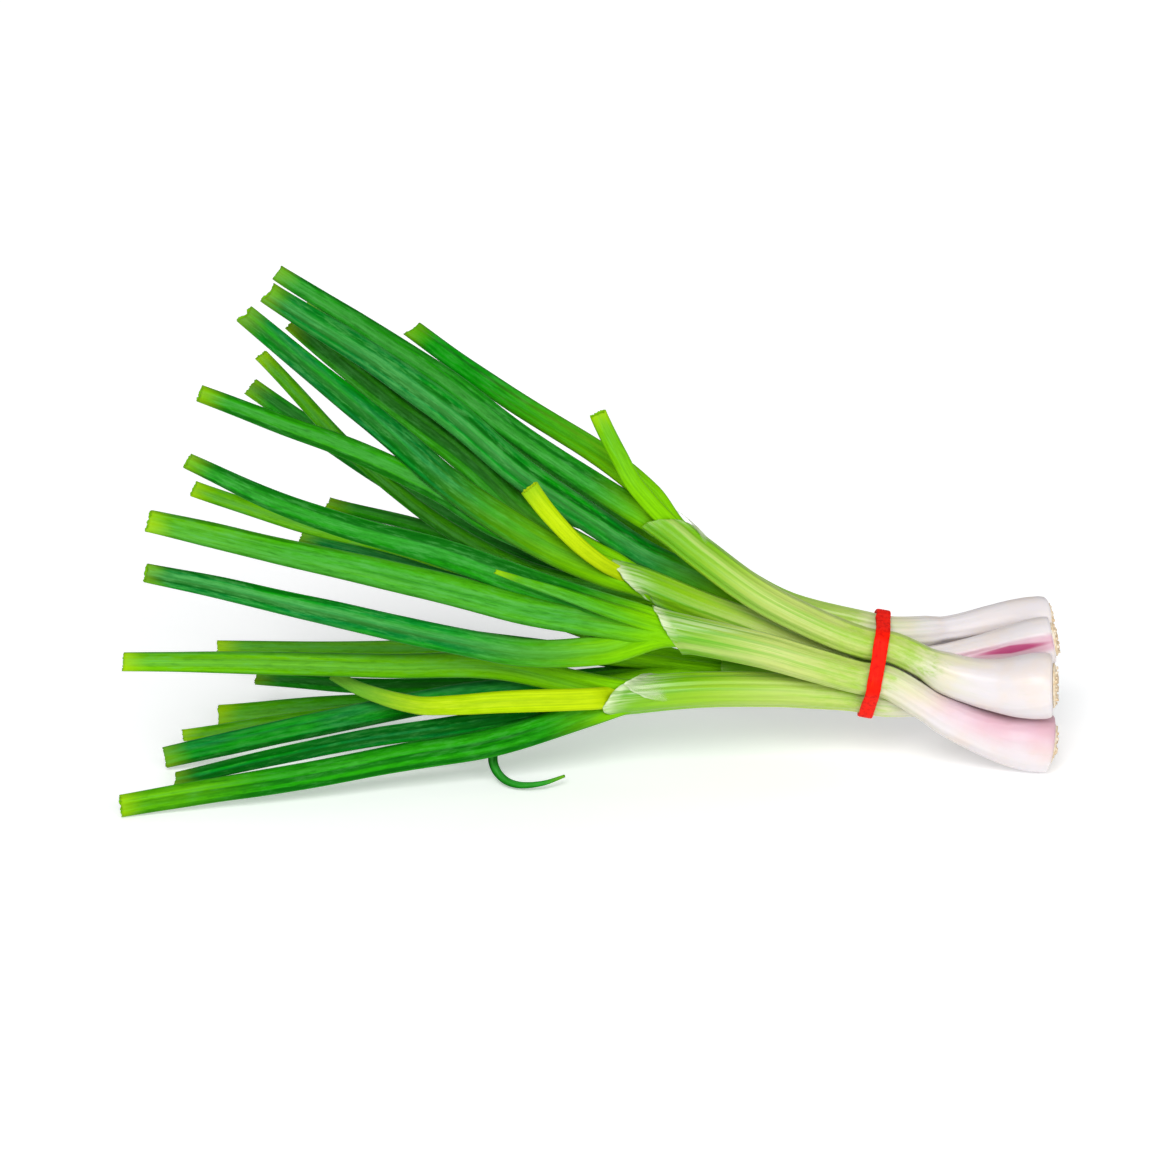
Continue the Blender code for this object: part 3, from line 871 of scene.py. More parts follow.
@dataclass(frozen=True)
class LeafBlade:
    """One hollow leaf: a flattened tube with a channel along its front and an open cut end.

    Args:
        route: Its middle line on the sheet, to the cut end.
        base_width: Its width at the base, in millimetres.
        tip_width: Its width at the cut end.
        turn: How far its channel is turned, in degrees.
        look: Its colours.
        cut: The shape of its cut end.
        swell: How much wider it is in its middle.
        lead: Places inside a sheath that a single leaf starts from.
    """

    route: tuple[Place, ...]
    base_width: float
    tip_width: float
    turn: float
    look: LeafLook
    cut: Cut = Cut.SQUARE
    swell: float = 0.0
    lead: tuple[Place, ...] = ()

    SIDES = 44
    RING_STEP = 1.1 * MM
    FEWEST_RINGS = 12
    WALL = 0.45 * MM
    HOLLOW = 9.0 * MM
    HOLLOW_RINGS = 9

    NARROWS = 2.2
    FLATNESS = 0.46
    ROUNDNESS = (0.92, 0.82)
    UNEVEN_WIDTH = 0.03
    UNEVEN_THICKNESS = 0.08
    CHANNEL = 0.26
    CHANNEL_HALF_WIDTH = 0.19
    CHANNEL_STARTS = 20.0 * MM
    RIB = 0.018

    HIDDEN = 22.0 * MM
    FILL = 0.40
    FILL_REACH = 14.0 * MM
    OPENS = 14.0 * MM

    RAGGED = 0.35 * MM
    NOTCH_HALF_WIDTH = 0.20
    CUT_REACH = 1.6
    TWIST = 9.0
    SWAY = 0.5 * MM
    FADE_FROM = 12.0 * MM
    FADE_OVER = 42.0 * MM
    START_SHUT = 0.05
    APART = (0.031, 0.017, 0.11)

    def sizes(
        self, shares: np.ndarray, length: float, seed: float, mouth: float
    ) -> tuple[np.ndarray, np.ndarray]:
        """The width and the thickness of the leaf.

        Args:
            shares: How far along the leaf each section is, 0 to 1.
            length: The leaf's length.
            seed: Tells one leaf from another.
            mouth: The width that the sheath leaves it, in millimetres, or 0 with no sheath.

        Returns:
            The widths and the thicknesses in metres.
        """
        width = self.base_width + (self.tip_width - self.base_width) * shares**self.NARROWS
        width = width + self.swell * np.sin(np.pi * shares)
        filled = np.zeros_like(shares)
        if mouth:
            past = shares * length - self.HIDDEN
            held = np.minimum(width, mouth)
            width = held + (width - held) * ramp(past, -2 * MM, self.OPENS)
            filled = self.FILL * np.exp(-np.maximum(past, 0) / self.FILL_REACH)
        narrowest = 1 - self.UNEVEN_WIDTH / 2
        width = width * MM * (narrowest + self.UNEVEN_WIDTH * wander(shares * length / 0.022, seed))
        uneven = 1 + self.UNEVEN_THICKNESS * wander(shares * length / 0.030, seed + 3)
        return width, width * (self.FLATNESS + filled) * uneven

    def sections(
        self, shares: np.ndarray, angles: np.ndarray, length: float, seed: float, wall: float, mouth: float
    ) -> tuple[np.ndarray, np.ndarray]:
        """The cross sections of the leaf, flat on their own axes.

        Args:
            shares: How far along the leaf each section is, 0 to 1.
            angles: Where round the section its points are.
            length: The leaf's length.
            seed: Tells one leaf from another.
            wall: How far inside the skin the sections lie.
            mouth: The width that the sheath leaves it, in millimetres, or 0 with no sheath.

        Returns:
            The points' places across and out, in metres, one row for each section.
        """
        width, thick = self.sizes(shares, length, seed, mouth)
        cos, sin = np.cos(angles), np.sin(angles)
        x, y = (0.5 * np.sign(c) * np.abs(c) ** power for c, power in zip((cos, sin), self.ROUNDNESS))
        depth = self.CHANNEL * (0.75 + 0.5 * wander(shares * length / 0.045, seed + 5))
        depth = depth * (1 - 0.6 * np.exp(-shares * length / self.CHANNEL_STARTS))
        middle = 0.10 * wander(shares * length / 0.040, seed + 9)
        off_middle = (x[None, :] - middle[:, None]) / self.CHANNEL_HALF_WIDTH
        dip = np.exp(-(off_middle**2)) * np.clip(sin, 0, 1)[None, :]
        ribs = self.RIB * (np.cos(9 * angles + seed) + 0.7 * np.cos(15 * angles + 2 * seed))
        across = x[None, :] * (width - 2 * wall)[:, None] * (1 + ribs * 0.3)[None, :]
        out = (y[None, :] * (1 + ribs)[None, :] - depth[:, None] * dip) * (thick - 2 * wall)[:, None]
        return across, out

    def trim(
        self, across: np.ndarray, angles: np.ndarray, distances: np.ndarray, length: float, seed: float
    ) -> np.ndarray:
        """How far back each point near the end is moved by the shape of the cut.

        Args:
            across: The points' places across the leaf.
            angles: Where round the section the points are.
            distances: How far along the leaf each section is.
            length: The leaf's length.
            seed: Tells one leaf from another.

        Returns:
            The moves in metres, one for each point.
        """
        slant, notch = self.cut.value
        width = self.tip_width * MM
        place = across / width
        notched = notch * np.exp(-((place / self.NOTCH_HALF_WIDTH) ** 2))
        back = (slant * (place + 0.5) + notched) * width
        back = back + self.RAGGED * (1 + wander_round(angles, 5.0, seed))[None, :]
        near = np.clip(1 - (length - distances) / (self.CUT_REACH * width), 0, 1) ** 2
        return back * near[:, None]

    def add_to(self, skin: Skin, lead: Sequence[Vector], mouth: float, seed: float) -> None:
        """Builds the leaf into a mesh.

        Args:
            skin: The mesh that takes it.
            lead: Points inside the sheath that its line starts from.
            mouth: The width that the sheath leaves it, in millimetres, or 0 with no sheath.
            seed: Tells one leaf from another.
        """
        line = Route([*lead, *(SHEET.at(*place) for place in (*self.lead, *self.route))])
        length = line.length
        hidden = self.HIDDEN if mouth else self.lead_length()
        angles = np.linspace(0, 2 * math.pi, self.SIDES, endpoint=False)
        around = np.stack([np.cos(angles), np.sin(angles)], axis=-1)
        outer = np.linspace(0, 1, max(int(length / self.RING_STEP), self.FEWEST_RINGS))
        inner = 1 - np.linspace(0, 1, self.HOLLOW_RINGS) * self.HOLLOW / length
        runs = ((outer, 0.0, 0.0), (inner[:1], self.WALL * 0.5, 0.0), (inner, self.WALL, 1.0))
        offset = seed * np.array(self.APART)
        rows, carried = [], {"straight": [], "section": [], "places": []}
        for shares, wall, inside in runs:
            across, out = self.sections(shares, angles, length, seed, wall, mouth)
            distances = shares * length
            points, slopes = line.read(distances)
            sway = np.sin(np.pi * shares) ** 0.5
            turns = self.turn + self.TWIST * wander(distances / 0.050, seed + 1) * sway
            u, v = across_axes(slopes, turns)
            points = points + u * (self.SWAY * wander(distances / 0.035, seed + 7) * sway)[:, None]
            back = self.trim(across, angles, distances, length, seed)
            if inside:
                across[-1] *= NEARLY_SHUT
                out[-1] *= NEARLY_SHUT
            ring = points[:, None] + u[:, None] * across[..., None] + v[:, None] * out[..., None]
            rows.append(ring - slopes[:, None] * back[..., None])
            along = distances[:, None] - back
            share = np.broadcast_to(shares[:, None], along.shape)
            grown = (along - hidden) / self.look.young
            carried["straight"].append(np.stack([across, out, along], axis=-1) + offset)
            spread = np.broadcast_to(around, (*along.shape, 2))
            flag = np.full((*along.shape, 1), inside)
            carried["section"].append(np.concatenate([spread, flag], axis=-1))
            carried["places"].append(np.stack([share, length - along, grown], axis=-1))
        rings = np.concatenate(rows)
        centre = rings[0].mean(axis=0)
        rings[0] = centre + (rings[0] - centre) * self.START_SHUT
        values = {name: np.concatenate(parts) for name, parts in carried.items()}
        outer_end = 1 - ramp(values["places"][..., 1], self.FADE_FROM, self.FADE_OVER)
        look = (self.look.lime + self.look.fade * outer_end, self.look.bloom, self.look.streak_and_sheen)
        values["look"] = np.stack(np.broadcast_arrays(*look), axis=-1)
        skin.add(rest_on_floor(rings), values)

    def lead_length(self) -> float:
        """How far a single leaf runs inside its sheath, in metres."""
        return sum(math.dist(a, b) for a, b in zip(self.lead, self.route[:1])) * MM


@dataclass(frozen=True)
class Collar:
    """The papery rim that is left of an outer sheath.

    Args:
        facing: Which way it faces round the sheath, in degrees, with 90 at the front.
        span: How far round the sheath it reaches on each side, in degrees.
        behind: How far before the mouth it starts, in millimetres.
        beyond: How far past the mouth its point reaches.
    """

    facing: float
    span: float
    behind: float
    beyond: float

    ROWS = 40
    COLUMNS = 56
    CLEARANCE = 0.3
    LIFT = 0.6
    SHORTEST = 2.0
    LEANS_IN = 0.30
    LEANS_OVER = 14.0 * MM

    def piece(
        self, name: str, line: Route, mouth: float, radius: float, material: bpy.types.Material, seed: float
    ) -> bpy.types.Object:
        """Builds the collar.

        Args:
            name: The piece's name.
            line: The line of the sheath, run on along the leaf.
            mouth: How far along the line the mouth is.
            radius: The sheath's radius at the mouth, in metres.
            material: What it is dressed in.
            seed: Tells one collar from another.

        Returns:
            The piece.
        """
        turns = np.linspace(-1, 1, self.COLUMNS)
        angles = np.radians(self.facing + turns * self.span)
        cos, sin = np.cos(angles), np.sin(angles)
        ragged = 0.7 * wander(turns * 4, seed) + 0.25 * wander(turns * 17, seed + 2)
        point = (self.behind + self.beyond) * (1 - np.abs(turns)) ** 0.75 + ragged
        reach = np.maximum(point, self.SHORTEST) * MM
        rows, carried = [], {"straight": [], "places": []}
        for share in np.linspace(0, 1, self.ROWS):
            distances = mouth - self.behind * MM + share * reach
            points, slopes = line.read(distances)
            u, v = across_axes(slopes, np.zeros(self.COLUMNS))
            past = np.clip((distances - mouth) / self.LEANS_OVER, 0, 1)
            wave = 0.22 * wander(turns * 6 + share * 3, seed + 5) * share
            off = (self.CLEARANCE + wave + self.LIFT * share**2) * MM
            stand = radius * (1 - self.LEANS_IN * past) + off
            rows.append(points + (u * cos[:, None] + v * sin[:, None]) * stand[:, None])
            flat = np.stack([cos * radius, sin * radius, distances], axis=-1)
            carried["straight"].append(flat + seed * 0.05)
            places = ((1 - share) * reach, np.full_like(turns, share), turns)
            carried["places"].append(np.stack(places, axis=-1))
        skin = Skin()
        skin.add(np.stack(rows), {key: np.stack(parts) for key, parts in carried.items()}, closed=False)
        return skin.mesh(name, material)


@dataclass(frozen=True)
class Neck:
    """The tied neck of the bunch, in millimetres.

    Args:
        along: Where its middle is along the sheet.
        up: Where its middle is up the sheet.
        slope: How steeply it rises towards the leaves.
        pitch: How far apart the middles of two necks are.
        radius: The radius of one neck.
        straight: How far each neck runs straight on each side of the band.
    """

    along: float = 91.4
    up: float = 31.8
    slope: float = math.radians(10.6)
    pitch: float = 11.0
    radius: float = 5.15
    straight: float = 5.0

    @property
    def axis(self) -> Vector:
        """The direction of the neck, from the bulbs to the leaves."""
        return Vector((-math.cos(self.slope), 0.0, math.sin(self.slope)))

    @property
    def across(self) -> Vector:
        """The direction across the neck that points up."""
        return Vector((math.sin(self.slope), 0.0, math.cos(self.slope)))

    def outwards(self, angle: float) -> Vector:
        """The direction out of the bunch at an angle round it, with 0 at the front."""
        turn = math.radians(angle)
        return Vector((0.0, -1.0, 0.0)) * math.cos(turn) + self.across * math.sin(turn)

    def point(self, angle: float | None) -> Vector:
        """The middle of the neck at an angle round the bunch, or of the middle one."""
        centre = SHEET.at(self.along, self.up, 0.0)
        return centre if angle is None else centre + self.outwards(angle) * self.pitch * MM


NECK = Neck()


@dataclass(frozen=True)
class StalkLook:
    """The colours of one plant's skin.

    Args:
        pink: How pink its bulb is, 0 to 1.
        blush: Which side of the bulb is pink, in degrees, with 90 at the front.
        breadth: How far round the bulb the pink reaches, in degrees.
        green: How early its sheath turns green, 0 to 1.
        paper: Which side of its mouth has a dry, papery rim, in degrees.
        dry: How far round the mouth that rim reaches, in degrees.
        film: How far its papery film runs back from the rim, 1 for about 3 cm.
        fresh: How far its green runs past the band to the bulb, 1 for about 2 cm.
    """

    pink: float
    blush: float
    breadth: float
    green: float
    paper: float = 60.0
    dry: float = 120.0
    film: float = 0.5
    fresh: float = 0.0

    def pinkness(self, angles: np.ndarray) -> np.ndarray:
        """How pink the bulb is at each angle round it, in radians."""
        return self.pink * self.near(angles, self.blush, self.breadth)

    def dryness(self, angles: np.ndarray) -> np.ndarray:
        """How papery the rim is at each angle round it, in radians."""
        return self.film * self.near(angles, self.paper, self.dry)

    @staticmethod
    def near(angles: np.ndarray, middle: float, breadth: float) -> np.ndarray:
        """A soft hump round an angle.

        Args:
            angles: Where it is read, in radians.
            middle: Where it is highest, in degrees.
            breadth: How far on each side it falls to nearly nothing, in degrees.

        Returns:
            Values from 0 to 1.
        """
        away = np.degrees(np.abs((angles - math.radians(middle) + math.pi) % (2 * math.pi) - math.pi))
        return np.exp(-((away / breadth * 1.6) ** 2))


@dataclass(frozen=True)
class Plant:
    """One plant: a bulb, neck and sheath in one skin, with its leaves and its collar.

    Args:
        neck_angle: Where its neck is round the bunch, or None in the middle.
        bulb_radius: The bulb's radius in millimetres.
        mouth_radius: The sheath's radius at its mouth.
        bulb_route: The bulb's middle line on the sheet.
        sheath_route: The sheath's middle line on the sheet.
        leaves: Its green leaves.
        look: The colours of its skin.
        tongue: Which side of the mouth reaches furthest, in degrees, with 90 at the front.
        slant: How far the other side is cut back, in mouth widths.
        tongue_end: The place on the sheet where the tongue ends, or None at the mouth.
        collars: Its papery rims.
    """

    neck_angle: float | None
    bulb_radius: float
    mouth_radius: float
    bulb_route: tuple[Place, ...]
    sheath_route: tuple[Place, ...]
    leaves: tuple[LeafBlade, ...]
    look: StalkLook
    tongue: float = 70.0
    slant: float = 1.2
    tongue_end: Place | None = None
    collars: tuple[Collar, ...] = ()

    PROFILE = (
        (0.0, 0.88),
        (0.8, 0.96),
        (2.5, 1.0),
        (7.0, 0.99),
        (12.0, 0.92),
        (18.0, 0.80),
        (26.0, 0.70),
        (36.0, 0.62),
    )
    TO_NECK = 6.0
    SMOOTHING = 2.2 * MM
    BLUNT_END = 3.0 * MM

    SIDES = 88
    RING_STEP = 0.8 * MM
    FIRST_RINGS = (0.0, 0.0, 0.0, 0.25, 0.5)
    ROOT_END = (NEARLY_SHUT, 0.55, 0.93)
    WALL = 0.55 * MM
    HOLLOW = 12.0 * MM
    HOLLOW_RINGS = 9

    SKIN_EDGE = 0.24
    EDGE_SLANT = 6.0
    RIB = 0.12
    RIBS_FROM = 12.0 * MM
    RIBS_OVER = 30.0 * MM

    JAG = 0.5 * MM
    CUT_REACH = 26.0 * MM
    LIP = 0.45 * MM
    LIP_REACH = 2.5 * MM

    LEAF_ROOM = 1.5
    LEAST_ROOM = 0.6
    ROOM_USED = 0.7
    TURNS_ASIDE = 0.35
    LEAD_END = 1.5 * MM

    def line_points(self) -> list[Vector]:
        """The points of its middle line, from the root end to the mouth."""
        neck = NECK.point(self.neck_angle)
        straight = NECK.axis * NECK.straight * MM
        bulb = [SHEET.at(*place) for place in self.bulb_route]
        sheath = [SHEET.at(*place) for place in self.sheath_route]
        return [*bulb, neck - straight, neck + straight, *sheath]

    def radii(self, distances: np.ndarray, to_neck: float, to_mouth: float) -> np.ndarray:
        """The smooth radius of the skin.

        Args:
            distances: How far from the root end, in metres.
            to_neck: How far the band is from the root end.
            to_mouth: How far the mouth is from the root end.

        Returns:
            The radii in metres.
        """
        marks = [(d * MM, share * self.bulb_radius * MM) for d, share in self.PROFILE]
        marks += [
            ((self.PROFILE[-1][0] + self.TO_NECK) * MM, NECK.radius * MM),
            (to_neck - NECK.straight * MM, NECK.radius * MM),
            (to_neck + NECK.straight * MM, NECK.radius * MM),
            (to_mouth, self.mouth_radius * MM),
        ]
        fine = np.linspace(0, to_mouth, 900)
        radius = np.interp(fine, *np.array(marks).T)
        reach = int(self.SMOOTHING / (fine[1] - fine[0]))
        kernel = np.hanning(2 * reach + 1)
        padded = np.pad(radius, reach, mode="edge")
        smooth = np.convolve(padded, kernel / kernel.sum(), mode="valid")
        blunt = np.clip(fine / self.BLUNT_END, 0, 1)
        return np.interp(distances, fine, radius * (1 - blunt) + smooth * blunt)

    def relief(self, distances: np.ndarray, angles: np.ndarray, seed: float) -> np.ndarray:
        """The ribs and the overlapping edges of the skins.

        Args:
            distances: How far from the root end each ring is.
            angles: Where round the ring its points are.
            seed: Tells one plant from another.

        Returns:
            How far each point stands out, in metres, one row for each ring.
        """
        grown = np.clip((distances - self.RIBS_FROM) / self.RIBS_OVER, 0.15, 1.0)[:, None]
        drift = 0.5 * wander(distances / 0.030, seed)[:, None]
        ribs = np.cos(9 * angles + drift + seed) + 0.6 * np.cos(16 * angles + 2 * seed - drift)
        edges = 0.0
        for k in range(2):
            first = seed * 2.4 + k * 2.7
            turned = (angles - first - self.EDGE_SLANT * distances[:, None] - 0.5 * drift) / (2 * math.pi)
            edges = edges + (turned - np.floor(turned) - 0.5)
        return (ribs * self.RIB * grown + edges * self.SKIN_EDGE) * MM

    def rim(self, angles: np.ndarray, seed: float) -> np.ndarray:
        """How far the mouth is cut back from its tongue.

        Args:
            angles: Where round the mouth it is read.
            seed: Tells one plant from another.

        Returns:
            The distances in metres.
        """
        away = (1 - np.cos(angles - math.radians(self.tongue))) / 2
        ragged = wander_round(angles, 2.2, seed + 4) + 0.4 * wander_round(angles, 9.0, seed)
        return away * 2 * self.slant * self.mouth_radius * MM + self.JAG * (1 + ragged)

    def stalk(self, name: str, material: bpy.types.Material, seed: float) -> bpy.types.Object:
        """Builds the bulb, neck and sheath.

        Args:
            name: The piece's name.
            material: What it is dressed in.
            seed: Tells one plant from another.

        Returns:
            The piece.
        """
        ends = [SHEET.at(*self.tongue_end)] if self.tongue_end else []
        line = Route(self.line_points() + ends)
        to_neck = line.distance_to(NECK.point(self.neck_angle))
        total = line.length
        angles = np.linspace(0, 2 * math.pi, self.SIDES, endpoint=False)
        cut = self.rim(angles, seed)
        papery = np.minimum(self.look.dryness(angles) * 2, 1) * (0.6 + wander_round(angles, 2.0, seed + 8))
        even = np.linspace(self.RING_STEP, total, int(total / self.RING_STEP))
        outer = np.concatenate((np.array(self.FIRST_RINGS) * MM, even))
        shrink = np.concatenate((self.ROOT_END, np.ones(len(outer) - len(self.ROOT_END))))
        inner = total - np.append(0.0, np.linspace(0, 1, self.HOLLOW_RINGS) * self.HOLLOW)
        closing = np.append(np.ones(self.HOLLOW_RINGS), NEARLY_SHUT)
        thin = np.append(self.WALL * 0.5, np.full(self.HOLLOW_RINGS, self.WALL))
        rows, carried = [], {"straight": [], "section": [], "places": []}
        for distances, scale, wall, inside in ((outer, shrink, 0.0, 0.0), (inner, closing, thin, 1.0)):
            points, slopes = line.read(distances)
            u, v = across_axes(slopes, np.zeros(len(distances)))
            radius = self.radii(distances, to_neck, total) - wall
            stand = (radius[:, None] + self.relief(distances, angles, seed)) * scale[:, None]
            near = np.clip(1 - (total - distances) / self.CUT_REACH, 0, 1) ** 1.5
            back = near[:, None] * cut
            along = distances[:, None] - back
            from_rim = total - cut - along
            stand = stand + self.LIP * np.exp(-np.maximum(from_rim, 0) / self.LIP_REACH) * papery
            cos, sin = (np.broadcast_to(f(angles), stand.shape) for f in (np.cos, np.sin))
            across, out = cos * stand, sin * stand
            ring = points[:, None] + u[:, None] * across[..., None] + v[:, None] * out[..., None]
            rows.append(ring - slopes[:, None] * back[..., None])
            carried["straight"].append(np.stack([across, out, along], axis=-1) + seed * 0.043)
            carried["section"].append(np.stack([cos, sin, np.full(stand.shape, inside)], axis=-1))
            carried["places"].append(np.stack([along, along - to_neck, from_rim], axis=-1))
        rings = rest_on_floor(np.concatenate(rows))
        values = {key: np.concatenate(parts) for key, parts in carried.items()}
        green = np.full(angles.shape, self.look.green)
        look = np.stack([self.look.pinkness(angles), green, self.look.dryness(angles)], axis=-1)
        values["look"] = np.broadcast_to(look[None], rings.shape)
        values["fresh"] = np.full(rings.shape[:2], self.look.fresh)
        skin = Skin()
        skin.add(rings, values)
        return skin.mesh(name, material)

    def fan(self, name: str, material: bpy.types.Material, seed: float) -> bpy.types.Object:
        """Builds its green leaves, which stand side by side in the mouth of the sheath.

        Args:
            name: The piece's name.
            material: What they are dressed in.
            seed: Tells one plant from another.

        Returns:
            The piece.
        """
        line = Route(self.line_points())
        mouth, out = Vector(line.line[-1]), Vector(line.slopes[-1])
        skin = Skin()
        for number, leaf in enumerate(self.leaves):
            ahead = SHEET.at(*leaf.route[0]) - mouth
            aside = ahead - out * ahead.dot(out)
            held = min(leaf.base_width, self.mouth_radius * self.LEAF_ROOM)
            room = max(self.mouth_radius - held / 2, self.LEAST_ROOM) * self.ROOM_USED * MM
            if aside.length > 0:
                aside = aside.normalized() * min(aside.length * self.TURNS_ASIDE, room)
            inside = Vector(line.read(np.array([line.length - leaf.HIDDEN]))[0][0])
            lead = [inside + aside * 0.5, mouth - out * self.LEAD_END + aside]
            leaf.add_to(skin, lead, self.mouth_radius * self.LEAF_ROOM, seed * 10 + number)
        return skin.mesh(name, material)

    def collar_piece(
        self, name: str, collar: Collar, material: bpy.types.Material, seed: float
    ) -> bpy.types.Object:
        """Builds one of its papery rims, which lies along its first leaf.

        Args:
            name: The piece's name.
            collar: The rim.
            material: What it is dressed in.
            seed: Tells one rim from another.

        Returns:
            The piece.
        """
        points = self.line_points()
        mouth = Route(points).length
        line = Route([*points, *(SHEET.at(*place) for place in self.leaves[0].route[:2])])
        return collar.piece(name, line, mouth, self.mouth_radius * MM, material, seed)


@dataclass(frozen=True)
class RootTuft:
    """The flat root plate of a bulb with the stumps of its trimmed roots.

    Args:
        bulb_radius: The radius of the bulb that it closes, in millimetres.
        bulb_route: The middle line of that bulb on the sheet.
    """

    bulb_radius: float
    bulb_route: tuple[Place, ...]

    GAP = 0.1 * MM
    SHARE = 0.66
    THICKNESS = 0.9 * MM
    SIDES = 48
    PLATE = (
        (0.0, 0.0),
        (0.0, 1.04),
        (0.45, 1.02),
        (0.85, 0.93),
        (1.0, 0.78),
        (0.88, 0.5),
        (0.80, 0.25),
        (0.78, 0.0),
    )
    STUMPS = 42
    LENGTHS = (0.1, 0.9)
    RADII = (0.30, 0.60)
    STUMP = ((0.0, 1.15), (0.35, 1.0), (0.7, 0.94), (1.0, 0.9), (1.0, 0.55), (0.97, 0.0))
    STUMP_SIDES = 8
    NEXT_TURN = 2.39996
    OUTERMOST = 0.88
    LEAN = 0.35

    def piece(self, name: str, material: bpy.types.Material, seed: int) -> bpy.types.Object:
        """Builds the tuft.

        Args:
            name: The piece's name.
            material: What it is dressed in.
            seed: Tells one tuft from another.

        Returns:
            The piece.
        """
        line = Route([SHEET.at(*place) for place in self.bulb_route])
        out = -line.slopes[0]
        foot = line.line[0] + out * self.GAP
        u, v = (axis[0] for axis in across_axes(out[None, :], np.zeros(1)))
        rng = np.random.default_rng(seed)
        radius = self.bulb_radius * self.SHARE * MM
        skin = Skin()
        angles = np.linspace(0, 2 * math.pi, self.SIDES, endpoint=False)
        edge = radius * (1 + 0.04 * wander(angles * 2.5, seed))
        plate = [self.ring(foot + out * h * self.THICKNESS, u, v, r * edge, angles) for h, r in self.PLATE]
        self.add_rings(skin, plate, np.zeros(len(plate)))
        turns = np.linspace(0, 2 * math.pi, self.STUMP_SIDES, endpoint=False)
        low = 0.5 * self.THICKNESS
        for number in range(self.STUMPS):
            share = math.sqrt((number + 0.5) / self.STUMPS) * self.OUTERMOST
            angle = number * self.NEXT_TURN + rng.uniform(-0.2, 0.2)
            away = u * math.cos(angle) + v * math.sin(angle)
            lean = u * rng.uniform(-self.LEAN, self.LEAN) + v * rng.uniform(-self.LEAN, self.LEAN)
            lean = lean + away * 0.25 * share
            reach = rng.uniform(*self.LENGTHS) * MM
            thick = rng.uniform(*self.RADII) * MM
            base = foot + away * radius * share
            spine = [base + out * (low + h * (reach + low)) + lean * reach * h**2 for h, _ in self.STUMP]
            stump = [self.ring(p, u, v, thick * w, turns) for p, (_, w) in zip(spine, self.STUMP)]
            self.add_rings(skin, stump, np.array(self.STUMP)[:, 0])
        return skin.mesh(name, material)

    @staticmethod
    def add_rings(skin: Skin, rings: Sequence[np.ndarray], heights: np.ndarray) -> None:
        """Adds a plate or a stump, which carries how high up a stump each ring is.

        Args:
            skin: The mesh that takes it.
            rings: Its rings.
            heights: The height of each ring, 0 to 1.
        """
        stacked = np.stack(rings)
        places = np.zeros(stacked.shape)
        places[:, :, 0] = heights[:, None]
        skin.add(stacked, {"straight": stacked, "places": places})

    @staticmethod
    def ring(
        centre: np.ndarray, u: np.ndarray, v: np.ndarray, radius: np.ndarray | float, angles: np.ndarray
    ) -> np.ndarray:
        """The points of one circle, or of a nearly round ring.

        Args:
            centre: Its middle.
            u: Its first axis.
            v: Its second axis.
            radius: Its radius, or one for each point.
            angles: Where round it the points are.

        Returns:
            The points, one row each.
        """
        return centre + (np.cos(angles) * radius)[:, None] * u + (np.sin(angles) * radius)[:, None] * v


